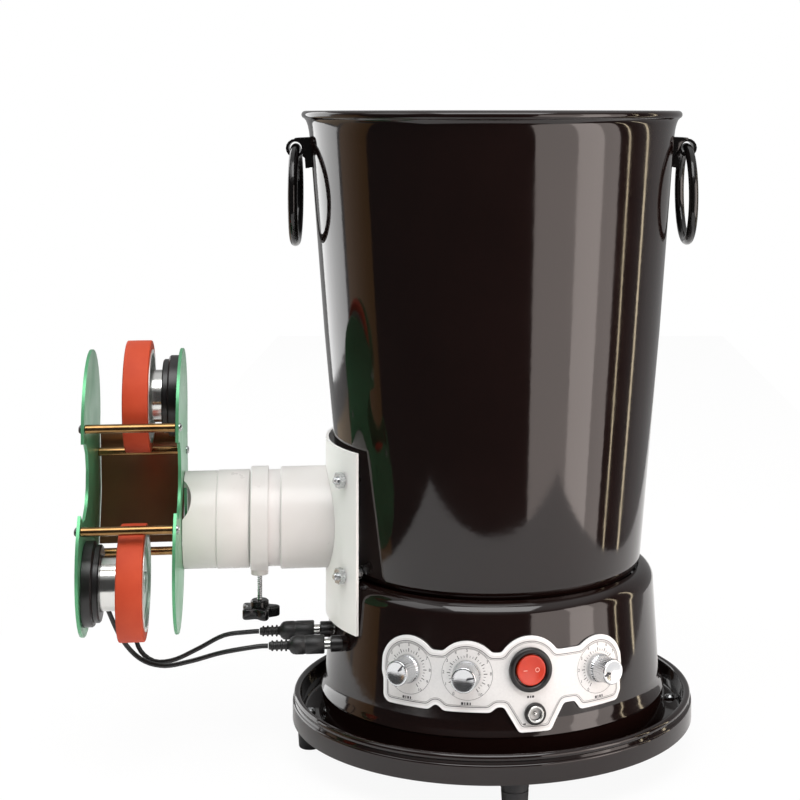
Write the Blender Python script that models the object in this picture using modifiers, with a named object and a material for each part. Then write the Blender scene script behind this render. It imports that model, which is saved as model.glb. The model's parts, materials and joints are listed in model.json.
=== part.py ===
"""Ball throwing machine for table tennis.

A tapered enamelled bucket stands on a drum with the feed motor and the controls.
Balls leave the bucket through a side tube, and a head with two driven wheels
throws them. Metres, +Z up, origin under the middle of the machine, on the table.
"""
import math

import bmesh
import bpy
from mathutils import Matrix, Vector

# Clearances and the fineness of the round pieces
GAP = 0.0003
RUNNING_GAP = 0.0005
LARGE_SEGMENTS = 44
TUBE_SEGMENTS = 32
SMALL_SEGMENTS = 14
TINY_SEGMENTS = 10

# Tray and feet
FOOT_HEIGHT = 0.0162
FOOT_TOP_RADIUS = 0.0068
FOOT_BOTTOM_RADIUS = 0.0060
FOOT_INSET = 0.0067
FOOT_COUNT = 4
FOOT_SCREW_RADIUS = 0.0015
FOOT_SCREW_HEAD_RADIUS = 0.0027
FOOT_SCREW_HEAD_HEIGHT = 0.0018
FOOT_SCREW_LENGTH = 0.010
TRAY_SHEET = 0.0015
TRAY_SKIRT_HEIGHT = 0.0095
TRAY_BEAD_RADIUS = 0.0018
TRAY_LEDGE = 0.0025
TRAY_EDGE_ROUND = 0.0005
TRAY_CHANNEL = 0.0125
TRAY_CENTRE_TUCK = 0.0005
TRAY_CENTRE_RISE = 0.0150
TRAY_VENT_RADIUS = 0.006

# Base drum with its recessed deck, which the bucket's foot stands in
BASE_SHEET = 0.0015
BASE_FLARE = 0.0027
BASE_WAIST_RISE = 0.0070
BASE_TAPER = 0.0027
BASE_HEIGHT = 0.0617
BASE_SHOULDER = 0.0080
RECESS_TUCK = 0.0005
RECESS_LIP = 0.0002
RECESS_DEPTH = 0.0053
DECK_HOLE_RADIUS = 0.0130

# Bucket
BUCKET_SHEET = 0.0012
BUCKET_HEIGHT = 0.2415
BUCKET_FOOT_RADIUS = 0.0769
BUCKET_MOUTH_RADIUS = 0.0977
BUCKET_CORNER = 0.0120
BEAD_RADIUS = 0.0020

# Ring handles and their ears
HANDLE_AZIMUTH = math.radians(-4.0)
RING_RADIUS = 0.0245
RING_WIRE_RADIUS = 0.0025
RING_PLAY = 0.0009
RING_DROP = 0.0195
EAR_WIDTH = 0.0100
EAR_WALL = 0.0015
EAR_PLATE_HEIGHT = 0.0150
EAR_PLATE_TOP = 0.0040
RIVET_RADIUS = 0.0015

# Ball feed inside the bucket
ROTOR_MARGIN = 0.0099
ROTOR_RISE = 0.0058
ROTOR_DISC = 0.0025
ROTOR_HUB_RADIUS = 0.0240
ROTOR_HUB_HEIGHT = 0.0220
ROTOR_HUB_TOP_RADIUS = 0.0080
ROTOR_BOSS_RADIUS = 0.0100
PADDLE_COUNT = 5
PADDLE_HEIGHT = 0.0130
PADDLE_WIDTH = 0.0040
SHAFT_RADIUS = 0.0030
SHAFT_BORE_DEPTH = 0.0080
CAP_RADIUS = 0.0085
CAP_HEIGHT = 0.0090
GEARBOX_RADIUS = 0.0185
GEARBOX_HEIGHT = 0.0180
GEAR_MOTOR_RADIUS = 0.0130
GEAR_MOTOR_HEIGHT = 0.0200

# Ball tube, each length measured along it from the piece before
TUBE_BORE_RADIUS = 0.0217
SPIGOT_RADIUS = 0.0233
SPIGOT_DEPTH = 0.0181
FEED_TUBE_RADIUS = 0.0260
FEED_TUBE_ROOT = 0.0120
FEED_TUBE_LENGTH = 0.0311
FEED_NECK_WALL = 0.0010
TUBE_EDGE = 0.0005
SADDLE_REACH = 0.0400
OUTLET_REACH = 0.0150
COLLAR_STANDOFF = 0.0064
COLLAR_WIDTH = 0.0090
COLLAR_RADIUS = 0.0265
COLLAR_BOSS_RADIUS = 0.0045
COLLAR_BOSS_DROP = 0.0290
HEAD_TUBE_RADIUS = 0.0250
HEAD_TUBE_GRIP = 0.0170
HEAD_TUBE_REACH = 0.0170
HEAD_TUBE_END_RADIUS = 0.0247
CLAMP_TIP_GAP = 0.0010
CLAMP_STUD_RADIUS = 0.0014
CLAMP_KNOB_RADIUS = 0.0104
CLAMP_KNOB_DROP = 0.0424
CLAMP_KNOB_HEIGHT = 0.0088
CLAMP_LOBES = 5

# Mount plate bent round the drum, with its four bolts, measured from the tube's height
PLATE_SHEET = 0.0015
PLATE_BELOW_TUBE = 0.0490
PLATE_ABOVE_TUBE = 0.0415
PLATE_HALF_ANGLE = math.radians(33.0)
PLATE_COLUMNS = 16
BOLT_ANGLE = math.radians(25.0)
BOLT_RISES = (-0.0213, 0.0266)
BOLT_RADIUS = 0.0019
BOLT_NUT_RADIUS = 0.0042
BOLT_NUT_HEIGHT = 0.0030
BOLT_HEAD_RADIUS = 0.0035
BOLT_HEAD_HEIGHT = 0.0016
BOLT_END_HEIGHT = 0.0020
SPACER_RADIUS = 0.0032

# Throwing head: forward and up from the tube's axis, at the head's own pitch
HEAD_PITCH = math.radians(21.0)
NIP_FORWARD = 0.0340
NIP_UP = 0.0118
SIDE_SHEET = 0.0015
SIDE_SPACING = 0.0455
LOBE_RADIUS = 0.0365
LOBE_BACK = 0.0048
LOBE_UP = 0.0343
WAIST_RADIUS = 0.0190
SIDE_BACK = 0.0250
SIDE_BACK_TOP = 0.0320
SIDE_BACK_BOTTOM = 0.0210
TUBE_END_NOTCH_RADIUS = 0.0125
ROD_RADIUS = 0.0022
ROD_STUB_RADIUS = 0.0012
ROD_HEAD_RADIUS = 0.0021
ROD_HEAD_HEIGHT = 0.0013
ROD_PLACES = {
    "front_upper": (0.0270, 0.0246),
    "front_lower": (0.0270, -0.0246),
    "rear_upper": (-0.0367, 0.0246),
    "rear_lower": (-0.0555, -0.0246),
}
BACK_PANEL_SHEET = 0.0010
BACK_PANEL_PLACE = 0.0228
BACK_PANEL_BOTTOM = -0.0080

# Wheels and their motors
WHEEL_RADIUS = 0.0282
WHEEL_SPREAD = 0.0460
WHEEL_STANDOFF = 0.0220
TYRE_WIDTH = 0.0125
TYRE_THICKNESS = 0.0045
TYRE_EDGE = 0.0005
HUB_RIM = 0.0020
HUB_RIM_PROUD = 0.0004
HUB_FACE_SET = 0.0012
HUB_WEB = 0.0025
HUB_BOSS_RADIUS = 0.0050
HUB_BOSS_HEIGHT = 0.0010
AXLE_RADIUS = 0.0016
AXLE_DEPTH = 0.0080
MOTOR_RADIUS = 0.0132
MOTOR_EDGE = 0.0010
MOTOR_GAP = 0.0008
HOLDER_RADIUS = 0.0205
HOLDER_DEPTH = 0.0080
HOLDER_FLOOR = 0.0015

# Controls on the drum, by angle from the front and by rise above the drum's lower edge
PANEL_SHEET = 0.0010
PANEL_TOP_RISE = 0.0393
PANEL_BOTTOM_RISE = 0.0140
PANEL_BEND = 0.0020
KNOB_LOBE_RADIUS = 0.0156
SWITCH_LOBE_RADIUS = 0.0158
KNOB_RISES = {
    "knob_speed_top": (math.radians(-34.1), 0.0291),
    "knob_speed_bottom": (math.radians(-14.4), 0.0291),
    "knob_feed_rate": (math.radians(29.8), 0.0273),
}
SWITCH_ANGLE = math.radians(5.6)
SWITCH_RISE = 0.0311
JACK_ANGLE = math.radians(6.9)
JACK_RISE = 0.0103
LABEL_TAB_DROP = 0.0177
LABEL_TAB_HALF = 0.0110
LABEL_TAB_SLOPE = 0.0030
JACK_TAB_RISE = 0.0020
JACK_TAB_HALF = 0.0075
JACK_TAB_SLOPE = 0.0070
KNOB_SKIRT_RADIUS = 0.0068
KNOB_RADIUS = 0.0060
KNOB_REACH = 0.0115
POT_BUSHING_RADIUS = 0.0038
POT_SHAFT_RADIUS = 0.0024
POT_BODY_RADIUS = 0.0080
POT_BODY_DEPTH = 0.0085
BEZEL_RADIUS = 0.0105
BEZEL_HEIGHT = 0.0024
SWITCH_BODY_RADIUS = 0.0094
SWITCH_BODY_DEPTH = 0.0150
ROCKER_RADIUS = 0.0072
ROCKER_THICKNESS = 0.0046
ROCKER_REST = math.radians(5.0)
JACK_NUT_RADIUS = 0.0050
JACK_RING_RADIUS = 0.0036
JACK_HOLE_RADIUS = 0.0027
JACK_PIN_RADIUS = 0.0010
JACK_BODY_DEPTH = 0.0120
BOARD_SIZE = (0.0620, 0.0400, 0.0016)
BOARD_PLACE = (0.0200, 0.0330)
BOARD_POST_RADIUS = 0.0030
BOARD_RISE = 0.0060

# Motor leads, their plugs and the sockets on the drum
SOCKET_RISE = 0.0289
SOCKET_SIDES = {"front": -0.0290, "rear": -0.0040}
SOCKET_RADIUS = 0.0040
SOCKET_REACH = 0.0045
SOCKET_BORE_RADIUS = 0.0028
SOCKET_LENGTH = 0.0200
PLUG_RADIUS = 0.0047
PLUG_LENGTH = 0.0170
PLUG_BARREL_RADIUS = 0.0025
PLUG_BARREL_LENGTH = 0.0080
PLUG_STANDOFF = 0.0030
BOOT_RADIUS = 0.0027
BOOT_LENGTH = 0.0110
BOOT_RIBS = 3
LEAD_RADIUS = 0.0012
LEAD_STEP = 0.0068

# Radii, heights and slopes that follow from the sizes above
RECESS_RADIUS = BUCKET_FOOT_RADIUS - RECESS_TUCK
BASE_TOP_RADIUS = RECESS_RADIUS + RECESS_LIP + BASE_SHOULDER
BASE_WAIST_RADIUS = BASE_TOP_RADIUS + BASE_TAPER
BASE_FOOT_RADIUS = BASE_WAIST_RADIUS + BASE_FLARE
TRAY_CENTRE_RADIUS = BASE_FOOT_RADIUS - TRAY_CENTRE_TUCK
TRAY_BEAD_CIRCLE = TRAY_CENTRE_RADIUS + TRAY_CHANNEL
TRAY_RADIUS = TRAY_BEAD_CIRCLE + TRAY_LEDGE
FOOT_CIRCLE_RADIUS = TRAY_BEAD_CIRCLE - FOOT_INSET
ROTOR_RADIUS = BUCKET_FOOT_RADIUS - ROTOR_MARGIN
TRAY_FLOOR = FOOT_HEIGHT + GAP
TRAY_TOP = TRAY_FLOOR + TRAY_CENTRE_RISE + TRAY_SHEET
BASE_BOTTOM = TRAY_TOP + GAP
BASE_TOP = BASE_BOTTOM + BASE_HEIGHT
DECK_TOP = BASE_TOP - RECESS_DEPTH
BUCKET_BOTTOM = DECK_TOP + GAP
BUCKET_LIP = BUCKET_BOTTOM + BUCKET_HEIGHT - 2.0 * BEAD_RADIUS - 0.001
BUCKET_SLOPE = (BUCKET_MOUTH_RADIUS - BUCKET_FOOT_RADIUS) / (BUCKET_LIP - BUCKET_BOTTOM)
BASE_SLOPE = (BASE_WAIST_RADIUS - BASE_TOP_RADIUS) / (BASE_HEIGHT - BASE_WAIST_RISE - BASE_SHOULDER)
FLARE_SLOPE = 0.46 * (BASE_FOOT_RADIUS - BASE_WAIST_RADIUS) / BASE_WAIST_RISE
ROTOR_BOTTOM = BUCKET_BOTTOM + ROTOR_RISE
TUBE_HEIGHT = ROTOR_BOTTOM + ROTOR_DISC + TUBE_BORE_RADIUS
PLATE_BOTTOM = TUBE_HEIGHT - PLATE_BELOW_TUBE
PLATE_TOP = TUBE_HEIGHT + PLATE_ABOVE_TUBE
BOLT_HEIGHTS = [TUBE_HEIGHT + rise for rise in BOLT_RISES]
PANEL_TOP = BASE_BOTTOM + PANEL_TOP_RISE
PANEL_BOTTOM = BASE_BOTTOM + PANEL_BOTTOM_RISE
KNOB_PLACES = {name: (angle, BASE_BOTTOM + rise) for name, (angle, rise) in KNOB_RISES.items()}
SWITCH_HEIGHT = BASE_BOTTOM + SWITCH_RISE
JACK_HEIGHT = BASE_BOTTOM + JACK_RISE
JACK_TAB_BOTTOM = BASE_BOTTOM + JACK_TAB_RISE
SOCKET_HEIGHT = BASE_BOTTOM + SOCKET_RISE
PIVOT_HEIGHT = BUCKET_BOTTOM + BUCKET_HEIGHT - RING_DROP
EAR_BORE_RADIUS = RING_WIRE_RADIUS + RING_PLAY
EAR_RADIUS = EAR_BORE_RADIUS + EAR_WALL


def bucket_radius(height):
    """Outer radius of the bucket's wall at a height above the table."""
    into_corner = BUCKET_BOTTOM + BUCKET_CORNER - height
    wall = BUCKET_FOOT_RADIUS + BUCKET_SLOPE * (height + max(0.0, into_corner) - BUCKET_BOTTOM)
    if into_corner > 0.0:
        wall += math.sqrt(BUCKET_CORNER ** 2 - into_corner ** 2) - BUCKET_CORNER
    return wall


def base_radius(height):
    """Outer radius of the drum's wall at a height above the table."""
    below_waist = BASE_BOTTOM + BASE_WAIST_RISE - height
    if below_waist > 0.0:
        return BASE_WAIST_RADIUS + FLARE_SLOPE * below_waist
    return BASE_TOP_RADIUS + BASE_SLOPE * (BASE_TOP - BASE_SHOULDER - height)


FEED_TUBE_END = bucket_radius(TUBE_HEIGHT) + FEED_TUBE_LENGTH
SPIGOT_START = FEED_TUBE_END - SPIGOT_DEPTH
COLLAR_START = FEED_TUBE_END + COLLAR_STANDOFF
COLLAR_END = COLLAR_START + COLLAR_WIDTH
HEAD_TUBE_STEP = COLLAR_END + HEAD_TUBE_GRIP
INNER_SIDE = HEAD_TUBE_STEP + HEAD_TUBE_REACH
OUTER_SIDE = INNER_SIDE + SIDE_SPACING
WHEEL_MIDDLE = INNER_SIDE + WHEEL_STANDOFF
BACK_REACH = OUTER_SIDE + SIDE_SHEET + GAP + ROD_HEAD_HEIGHT
PLATE_INNER_RADIUS = max(base_radius(PLATE_BOTTOM), bucket_radius(PLATE_TOP)) + GAP
RING_CIRCLE = bucket_radius(PIVOT_HEIGHT) + GAP + EAR_WALL + EAR_RADIUS
RIGHT_REACH = max(TRAY_RADIUS, (RING_CIRCLE + EAR_RADIUS) * math.cos(HANDLE_AZIMUTH))
MIDDLE_X = 0.5 * (RIGHT_REACH - BACK_REACH)
ALONG_TUBE = (0.0, -math.pi / 2.0, 0.0)


def clear_scene():
    """Remove whatever the file holds."""
    for item in list(bpy.data.objects):
        bpy.data.objects.remove(item, do_unlink=True)


def collection(name):
    """Make a collection linked to the scene."""
    group = bpy.data.collections.new(name)
    bpy.context.scene.collection.children.link(group)
    return group


clear_scene()
MODEL = collection("ball_throwing_machine")
CUTTERS = collection("cutters")


def linear(channel):
    """Turn one sRGB channel to the linear value that Blender stores."""
    if channel <= 0.04045:
        return channel / 12.92
    return ((channel + 0.055) / 1.055) ** 2.4


def finish(name, hex_colour, roughness, metallic=0.0):
    """A Principled material with the colour of a real finish."""
    channels = [int(hex_colour[i:i + 2], 16) / 255.0 for i in (0, 2, 4)]
    material = bpy.data.materials.new(name)
    material.use_nodes = True
    shader = material.node_tree.nodes["Principled BSDF"]
    shader.inputs["Base Color"].default_value = [linear(c) for c in channels] + [1.0]
    shader.inputs["Roughness"].default_value = roughness
    shader.inputs["Metallic"].default_value = metallic
    return material


ENAMEL = finish("brown_enamel", "2A2020", 0.12)
WHITE_PVC = finish("white_pvc", "F0EFEC", 0.35)
STEEL = finish("polished_steel", "B9C6BE", 0.12, 1.0)
ZINC = finish("zinc_plate", "C2C4C6", 0.3, 1.0)
BRASS = finish("yellow_zinc_rod", "C9A15E", 0.25, 1.0)
RUBBER = finish("orange_rubber", "CC482C", 0.7)
BLACK_PLASTIC = finish("black_plastic", "161617", 0.4)
CHROME = finish("nickel_plate", "C8C8C8", 0.15, 1.0)
ALUMINIUM = finish("spun_aluminium", "D0D2D4", 0.25, 1.0)
PANEL_FINISH = finish("printed_panel", "E9E9EC", 0.3)
RED_PLASTIC = finish("red_plastic", "D2402A", 0.35)
WHITE_PLASTIC = finish("white_plastic", "E4E2DC", 0.45)
BOARD_FINISH = finish("circuit_board", "1F5A34", 0.5)
CORD_FINISH = finish("black_cord", "141414", 0.5)


def empty(name, parent=None, location=(0.0, 0.0, 0.0), rotation=(0.0, 0.0, 0.0)):
    """A frame that pieces hang on."""
    frame = bpy.data.objects.new(name, None)
    frame.parent = parent
    frame.location = location
    frame.rotation_euler = rotation
    MODEL.objects.link(frame)
    return frame


def add(name, mesh, material, parent, location=(0.0, 0.0, 0.0), rotation=(0.0, 0.0, 0.0)):
    """Put a mesh in the model, or among the cutters when it has no material."""
    item = bpy.data.objects.new(name, mesh)
    item.parent = parent
    item.location = location
    item.rotation_euler = rotation
    if material is None:
        item.hide_render = True
        item.display_type = "WIRE"
        CUTTERS.objects.link(item)
    else:
        mesh.materials.append(material)
        MODEL.objects.link(item)
    return item


def mesh_from(name, shape):
    """Write a bmesh to a new mesh with smooth round faces and crisp corners."""
    bmesh.ops.recalc_face_normals(shape, faces=shape.faces)
    mesh = bpy.data.meshes.new(name)
    shape.to_mesh(mesh)
    shape.free()
    mesh.shade_smooth()
    mesh.set_sharp_from_angle(angle=math.radians(35.0))
    return mesh


def arc(centre, radius, start, end, count):
    """Points on an arc, from start to end in degrees."""
    points = []
    for i in range(count):
        angle = math.radians(start + (end - start) * i / (count - 1))
        points.append((centre[0] + radius * math.cos(angle), centre[1] + radius * math.sin(angle)))
    return points


def turned(name, outline, material, parent, segments=SMALL_SEGMENTS, closed=False, **place):
    """Turn an outline of (radius, height) points that runs down its outer side."""
    mesh = bpy.data.meshes.new(name)
    count = len(outline)
    edges = [(i, i + 1) for i in range(count - 1)]
    if closed:
        edges.append((count - 1, 0))
    mesh.from_pydata([(radius, 0.0, height) for radius, height in outline], edges, [])
    item = add(name, mesh, material, parent, **place)
    screw = item.modifiers.new("turn", "SCREW")
    screw.angle = 2.0 * math.pi
    screw.steps = segments
    screw.render_steps = segments
    screw.use_merge_vertices = True
    screw.merge_threshold = 0.00001
    screw.use_smooth_shade = True
    return item


def rod(name, radius, start, end, material, parent, segments=SMALL_SEGMENTS, **place):
    """A plain cylinder along the local Z axis."""
    shape = bmesh.new()
    bmesh.ops.create_cone(shape, cap_ends=True, segments=segments, radius1=radius, radius2=radius,
                          depth=end - start, matrix=Matrix.Translation((0.0, 0.0, 0.5 * (start + end))))
    return add(name, mesh_from(name, shape), material, parent, **place)


def block(name, low, high, material, parent, **place):
    """A box between two corners."""
    size = [h - l for l, h in zip(low, high)]
    middle = [0.5 * (l + h) for l, h in zip(low, high)]
    shape = bmesh.new()
    bmesh.ops.create_cube(shape, size=1.0, matrix=Matrix.LocRotScale(Vector(middle), None, Vector(size)))
    return add(name, mesh_from(name, shape), material, parent, **place)


def prism(name, outline, thickness, material, parent, **place):
    """A flat outline with a thickness along the local Z axis."""
    shape = bmesh.new()
    corners = [shape.verts.new((x, y, 0.0)) for x, y in outline]
    face = shape.faces.new(corners)
    grown = bmesh.ops.extrude_face_region(shape, geom=[face])
    moved = [item for item in grown["geom"] if isinstance(item, bmesh.types.BMVert)]
    bmesh.ops.translate(shape, verts=moved, vec=(0.0, 0.0, thickness))
    return add(name, mesh_from(name, shape), material, parent, **place)


def boolean(item, other, operation):
    """Cut or join one piece with another."""
    step = item.modifiers.new(other.name, "BOOLEAN")
    step.operation = operation
    step.object = other
    step.solver = "EXACT"


def cut(item, *others):
    """Take other shapes out of a piece."""
    for other in others:
        boolean(item, other, "DIFFERENCE")


def join(item, *others):
    """Add other shapes to a piece."""
    for other in others:
        boolean(item, other, "UNION")


machine = empty("machine", location=(-MIDDLE_X, 0.0, 0.0))
tube_line = empty("tube_line", machine, (0.0, 0.0, TUBE_HEIGHT))
head_pivot = empty("head_pivot", machine, (0.0, 0.0, TUBE_HEIGHT), (-HEAD_PITCH, 0.0, 0.0))


def wall_frame(name, angle, height):
    """A frame on the drum's outer wall, with its Z axis straight out of the wall."""
    radius = base_radius(height)
    location = (radius * math.sin(angle), -radius * math.cos(angle), height)
    lean = math.atan(BASE_SLOPE)
    return empty(name, machine, location, (math.pi / 2.0 - lean, 0.0, angle))


def round_tray():
    """Pressed round tray with a rolled edge, on four feet."""
    floor = TRAY_FLOOR
    skirt_bottom = FOOT_HEIGHT
    skirt_top = skirt_bottom + TRAY_SKIRT_HEIGHT
    bead = (TRAY_BEAD_CIRCLE, skirt_top + 0.5 * TRAY_SHEET + TRAY_BEAD_RADIUS)
    wall = TRAY_BEAD_CIRCLE - TRAY_SHEET
    outline = arc(bead, TRAY_BEAD_RADIUS, 90.0, -60.0, 5)
    outline += [
        (TRAY_RADIUS - TRAY_EDGE_ROUND, skirt_top),
        (TRAY_RADIUS, skirt_top - TRAY_EDGE_ROUND),
        (TRAY_RADIUS, skirt_bottom),
        (TRAY_RADIUS - TRAY_SHEET, skirt_bottom),
        (TRAY_RADIUS - TRAY_SHEET, skirt_top - TRAY_SHEET),
        (wall, skirt_top - TRAY_SHEET),
        (wall, floor),
        (TRAY_CENTRE_RADIUS - TRAY_SHEET, floor),
        (TRAY_CENTRE_RADIUS - TRAY_SHEET, TRAY_TOP - TRAY_SHEET),
        (TRAY_VENT_RADIUS, TRAY_TOP - TRAY_SHEET),
        (TRAY_VENT_RADIUS, TRAY_TOP),
        (TRAY_CENTRE_RADIUS, TRAY_TOP),
        (TRAY_CENTRE_RADIUS, floor + TRAY_SHEET),
        (wall - TRAY_SHEET, floor + TRAY_SHEET),
        (wall - TRAY_SHEET, skirt_top),
    ]
    outline += arc(bead, TRAY_BEAD_RADIUS, 190.0, 130.0, 3)
    tray = turned("base_tray", outline, ENAMEL, machine, LARGE_SEGMENTS, True)
    for i in range(FOOT_COUNT):
        angle = 2.0 * math.pi * i / FOOT_COUNT
        place = (FOOT_CIRCLE_RADIUS * math.cos(angle), FOOT_CIRCLE_RADIUS * math.sin(angle), 0.0)
        foot_and_screw(i + 1, place)
        hole = rod("foot_hole_%d" % (i + 1), FOOT_SCREW_RADIUS + GAP, floor - 0.002,
                   floor + TRAY_SHEET + 0.002, None, machine, TINY_SEGMENTS, location=place)
        cut(tray, hole)
    return tray


def foot_and_screw(number, place):
    """A tapered rubber foot and the screw that holds it from above."""
    bore = FOOT_SCREW_RADIUS + GAP
    head_bottom = TRAY_FLOOR + TRAY_SHEET + GAP
    tip = head_bottom - FOOT_SCREW_LENGTH
    foot_outline = [
        (bore, FOOT_HEIGHT),
        (FOOT_TOP_RADIUS, FOOT_HEIGHT),
        (FOOT_BOTTOM_RADIUS, 0.001),
        (FOOT_BOTTOM_RADIUS - 0.001, 0.0),
        (0.0, 0.0),
    ]
    foot_outline = [(0.0, tip - GAP), (bore, tip - GAP)] + foot_outline
    turned("foot_%d" % number, foot_outline, BLACK_PLASTIC, machine, location=place)
    screw_outline = [
        (0.0, head_bottom + FOOT_SCREW_HEAD_HEIGHT),
        (0.6 * FOOT_SCREW_HEAD_RADIUS, head_bottom + 0.9 * FOOT_SCREW_HEAD_HEIGHT),
        (FOOT_SCREW_HEAD_RADIUS, head_bottom + 0.4 * FOOT_SCREW_HEAD_HEIGHT),
        (FOOT_SCREW_HEAD_RADIUS, head_bottom),
        (FOOT_SCREW_RADIUS, head_bottom),
        (FOOT_SCREW_RADIUS, tip),
        (0.0, tip),
    ]
    turned("foot_screw_%d" % number, screw_outline, ZINC, machine, TINY_SEGMENTS, location=place)


def base_drum():
    """Pressed drum with a rounded shoulder and a recessed deck that carries the bucket."""
    shoulder = (BASE_TOP_RADIUS - BASE_SHOULDER, BASE_TOP - BASE_SHOULDER)
    inner_shoulder = BASE_SHOULDER - BASE_SHEET
    waist = BASE_BOTTOM + BASE_WAIST_RISE
    flare = 0.35 * BASE_WAIST_RISE
    outline = arc(shoulder, BASE_SHOULDER, 84.0, 0.0, 5)
    outline += [
        (BASE_WAIST_RADIUS, waist),
        (base_radius(BASE_BOTTOM + flare), BASE_BOTTOM + flare),
        (BASE_FOOT_RADIUS, BASE_BOTTOM),
        (BASE_FOOT_RADIUS - BASE_SHEET, BASE_BOTTOM),
        (BASE_WAIST_RADIUS - BASE_SHEET, waist),
    ]
    outline += arc(shoulder, inner_shoulder, 0.0, 78.0, 4)
    outline += [
        (RECESS_RADIUS + BASE_SHEET, DECK_TOP - BASE_SHEET),
        (DECK_HOLE_RADIUS, DECK_TOP - BASE_SHEET),
        (DECK_HOLE_RADIUS, DECK_TOP),
        (RECESS_RADIUS, DECK_TOP),
        (RECESS_RADIUS, BASE_TOP - 0.0006),
    ]
    return turned("base_housing", outline, ENAMEL, machine, LARGE_SEGMENTS, True)


def bucket_shell():
    """Tapered sheet bucket with a rolled rim, a round bottom corner and a shaft hole."""
    lean = math.degrees(math.atan(BUCKET_SLOPE))
    corner_height = BUCKET_BOTTOM + BUCKET_CORNER
    corner = (bucket_radius(corner_height) - BUCKET_CORNER / math.cos(math.radians(lean)), corner_height)
    bead = (BUCKET_MOUTH_RADIUS + GAP, BUCKET_LIP + 0.001 + BEAD_RADIUS)
    hole = SHAFT_RADIUS + RUNNING_GAP
    outline = arc(bead, BEAD_RADIUS, 90.0, -60.0, 5)
    outline += [(BUCKET_MOUTH_RADIUS, BUCKET_LIP)]
    outline += arc(corner, BUCKET_CORNER, -lean, -90.0, 5)
    outline += [(hole, BUCKET_BOTTOM), (hole, BUCKET_BOTTOM + BUCKET_SHEET)]
    outline += arc(corner, BUCKET_CORNER - BUCKET_SHEET, -90.0, -lean, 5)
    outline += [(BUCKET_MOUTH_RADIUS - BUCKET_SHEET, BUCKET_LIP)]
    outline += arc(bead, BEAD_RADIUS, 200.0, 130.0, 3)
    return turned("bucket", outline, ENAMEL, machine, LARGE_SEGMENTS, True)


def ring_handle(side, azimuth, bucket):
    """A riveted ear curled over a ring that hangs flat beside the bucket's wall."""
    lean = math.atan(BUCKET_SLOPE)
    place = (RING_CIRCLE * math.cos(azimuth), RING_CIRCLE * math.sin(azimuth), PIVOT_HEIGHT)
    hinge = empty("hinge_%s" % side, machine, place, (0.0, 0.0, azimuth))
    ring_outline = arc((RING_RADIUS, 0.0), RING_WIRE_RADIUS, 90.0, -225.0, 8)
    turned("ring_handle_%s" % side, ring_outline, ENAMEL, hinge, 32, True,
           location=(0.0, 0.0, -RING_RADIUS), rotation=(0.0, math.pi / 2.0, 0.0))
    half = 0.5 * EAR_WIDTH
    plate = block("ear_%s" % side, (-EAR_RADIUS - EAR_WALL, -half, EAR_PLATE_TOP - EAR_PLATE_HEIGHT),
                  (-EAR_RADIUS + 0.3 * EAR_WALL, half, EAR_PLATE_TOP), ENAMEL, hinge,
                  rotation=(0.0, lean, 0.0))
    across = (math.pi / 2.0, 0.0, 0.0)
    curl = rod("ear_curl_%s" % side, EAR_RADIUS, -half, half, None, hinge, 16, rotation=across)
    bore = rod("ear_bore_%s" % side, EAR_BORE_RADIUS, -EAR_WIDTH, EAR_WIDTH, None, hinge, 16, rotation=across)
    join(plate, curl)
    rivet_frame = empty("rivets_%s" % side, hinge, rotation=(0.0, lean, 0.0))
    wall = EAR_RADIUS + EAR_WALL
    head = wall + BUCKET_SHEET + 3.0 * GAP
    inward = (0.0, -math.pi / 2.0, 0.0)
    for number, share in enumerate((0.8, 0.2), start=1):
        rise = EAR_PLATE_TOP - share * EAR_PLATE_HEIGHT
        outline = [
            (0.0, head + 0.5 * EAR_WALL),
            (1.6 * RIVET_RADIUS, head + 0.4 * EAR_WALL),
            (1.6 * RIVET_RADIUS, head),
            (RIVET_RADIUS, head),
            (RIVET_RADIUS, wall - 0.5 * EAR_WALL),
            (0.0, wall - 0.5 * EAR_WALL),
        ]
        rivet = turned("ear_rivet_%s_%d" % (side, number), outline, None, rivet_frame, TINY_SEGMENTS,
                       location=(0.0, 0.0, rise), rotation=inward)
        hole = rod("rivet_hole_%s_%d" % (side, number), RIVET_RADIUS + GAP, wall, head + 0.004, None,
                   rivet_frame, TINY_SEGMENTS, location=(0.0, 0.0, rise), rotation=inward)
        join(plate, rivet)
        cut(bucket, hole)
    cut(plate, bore)


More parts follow.
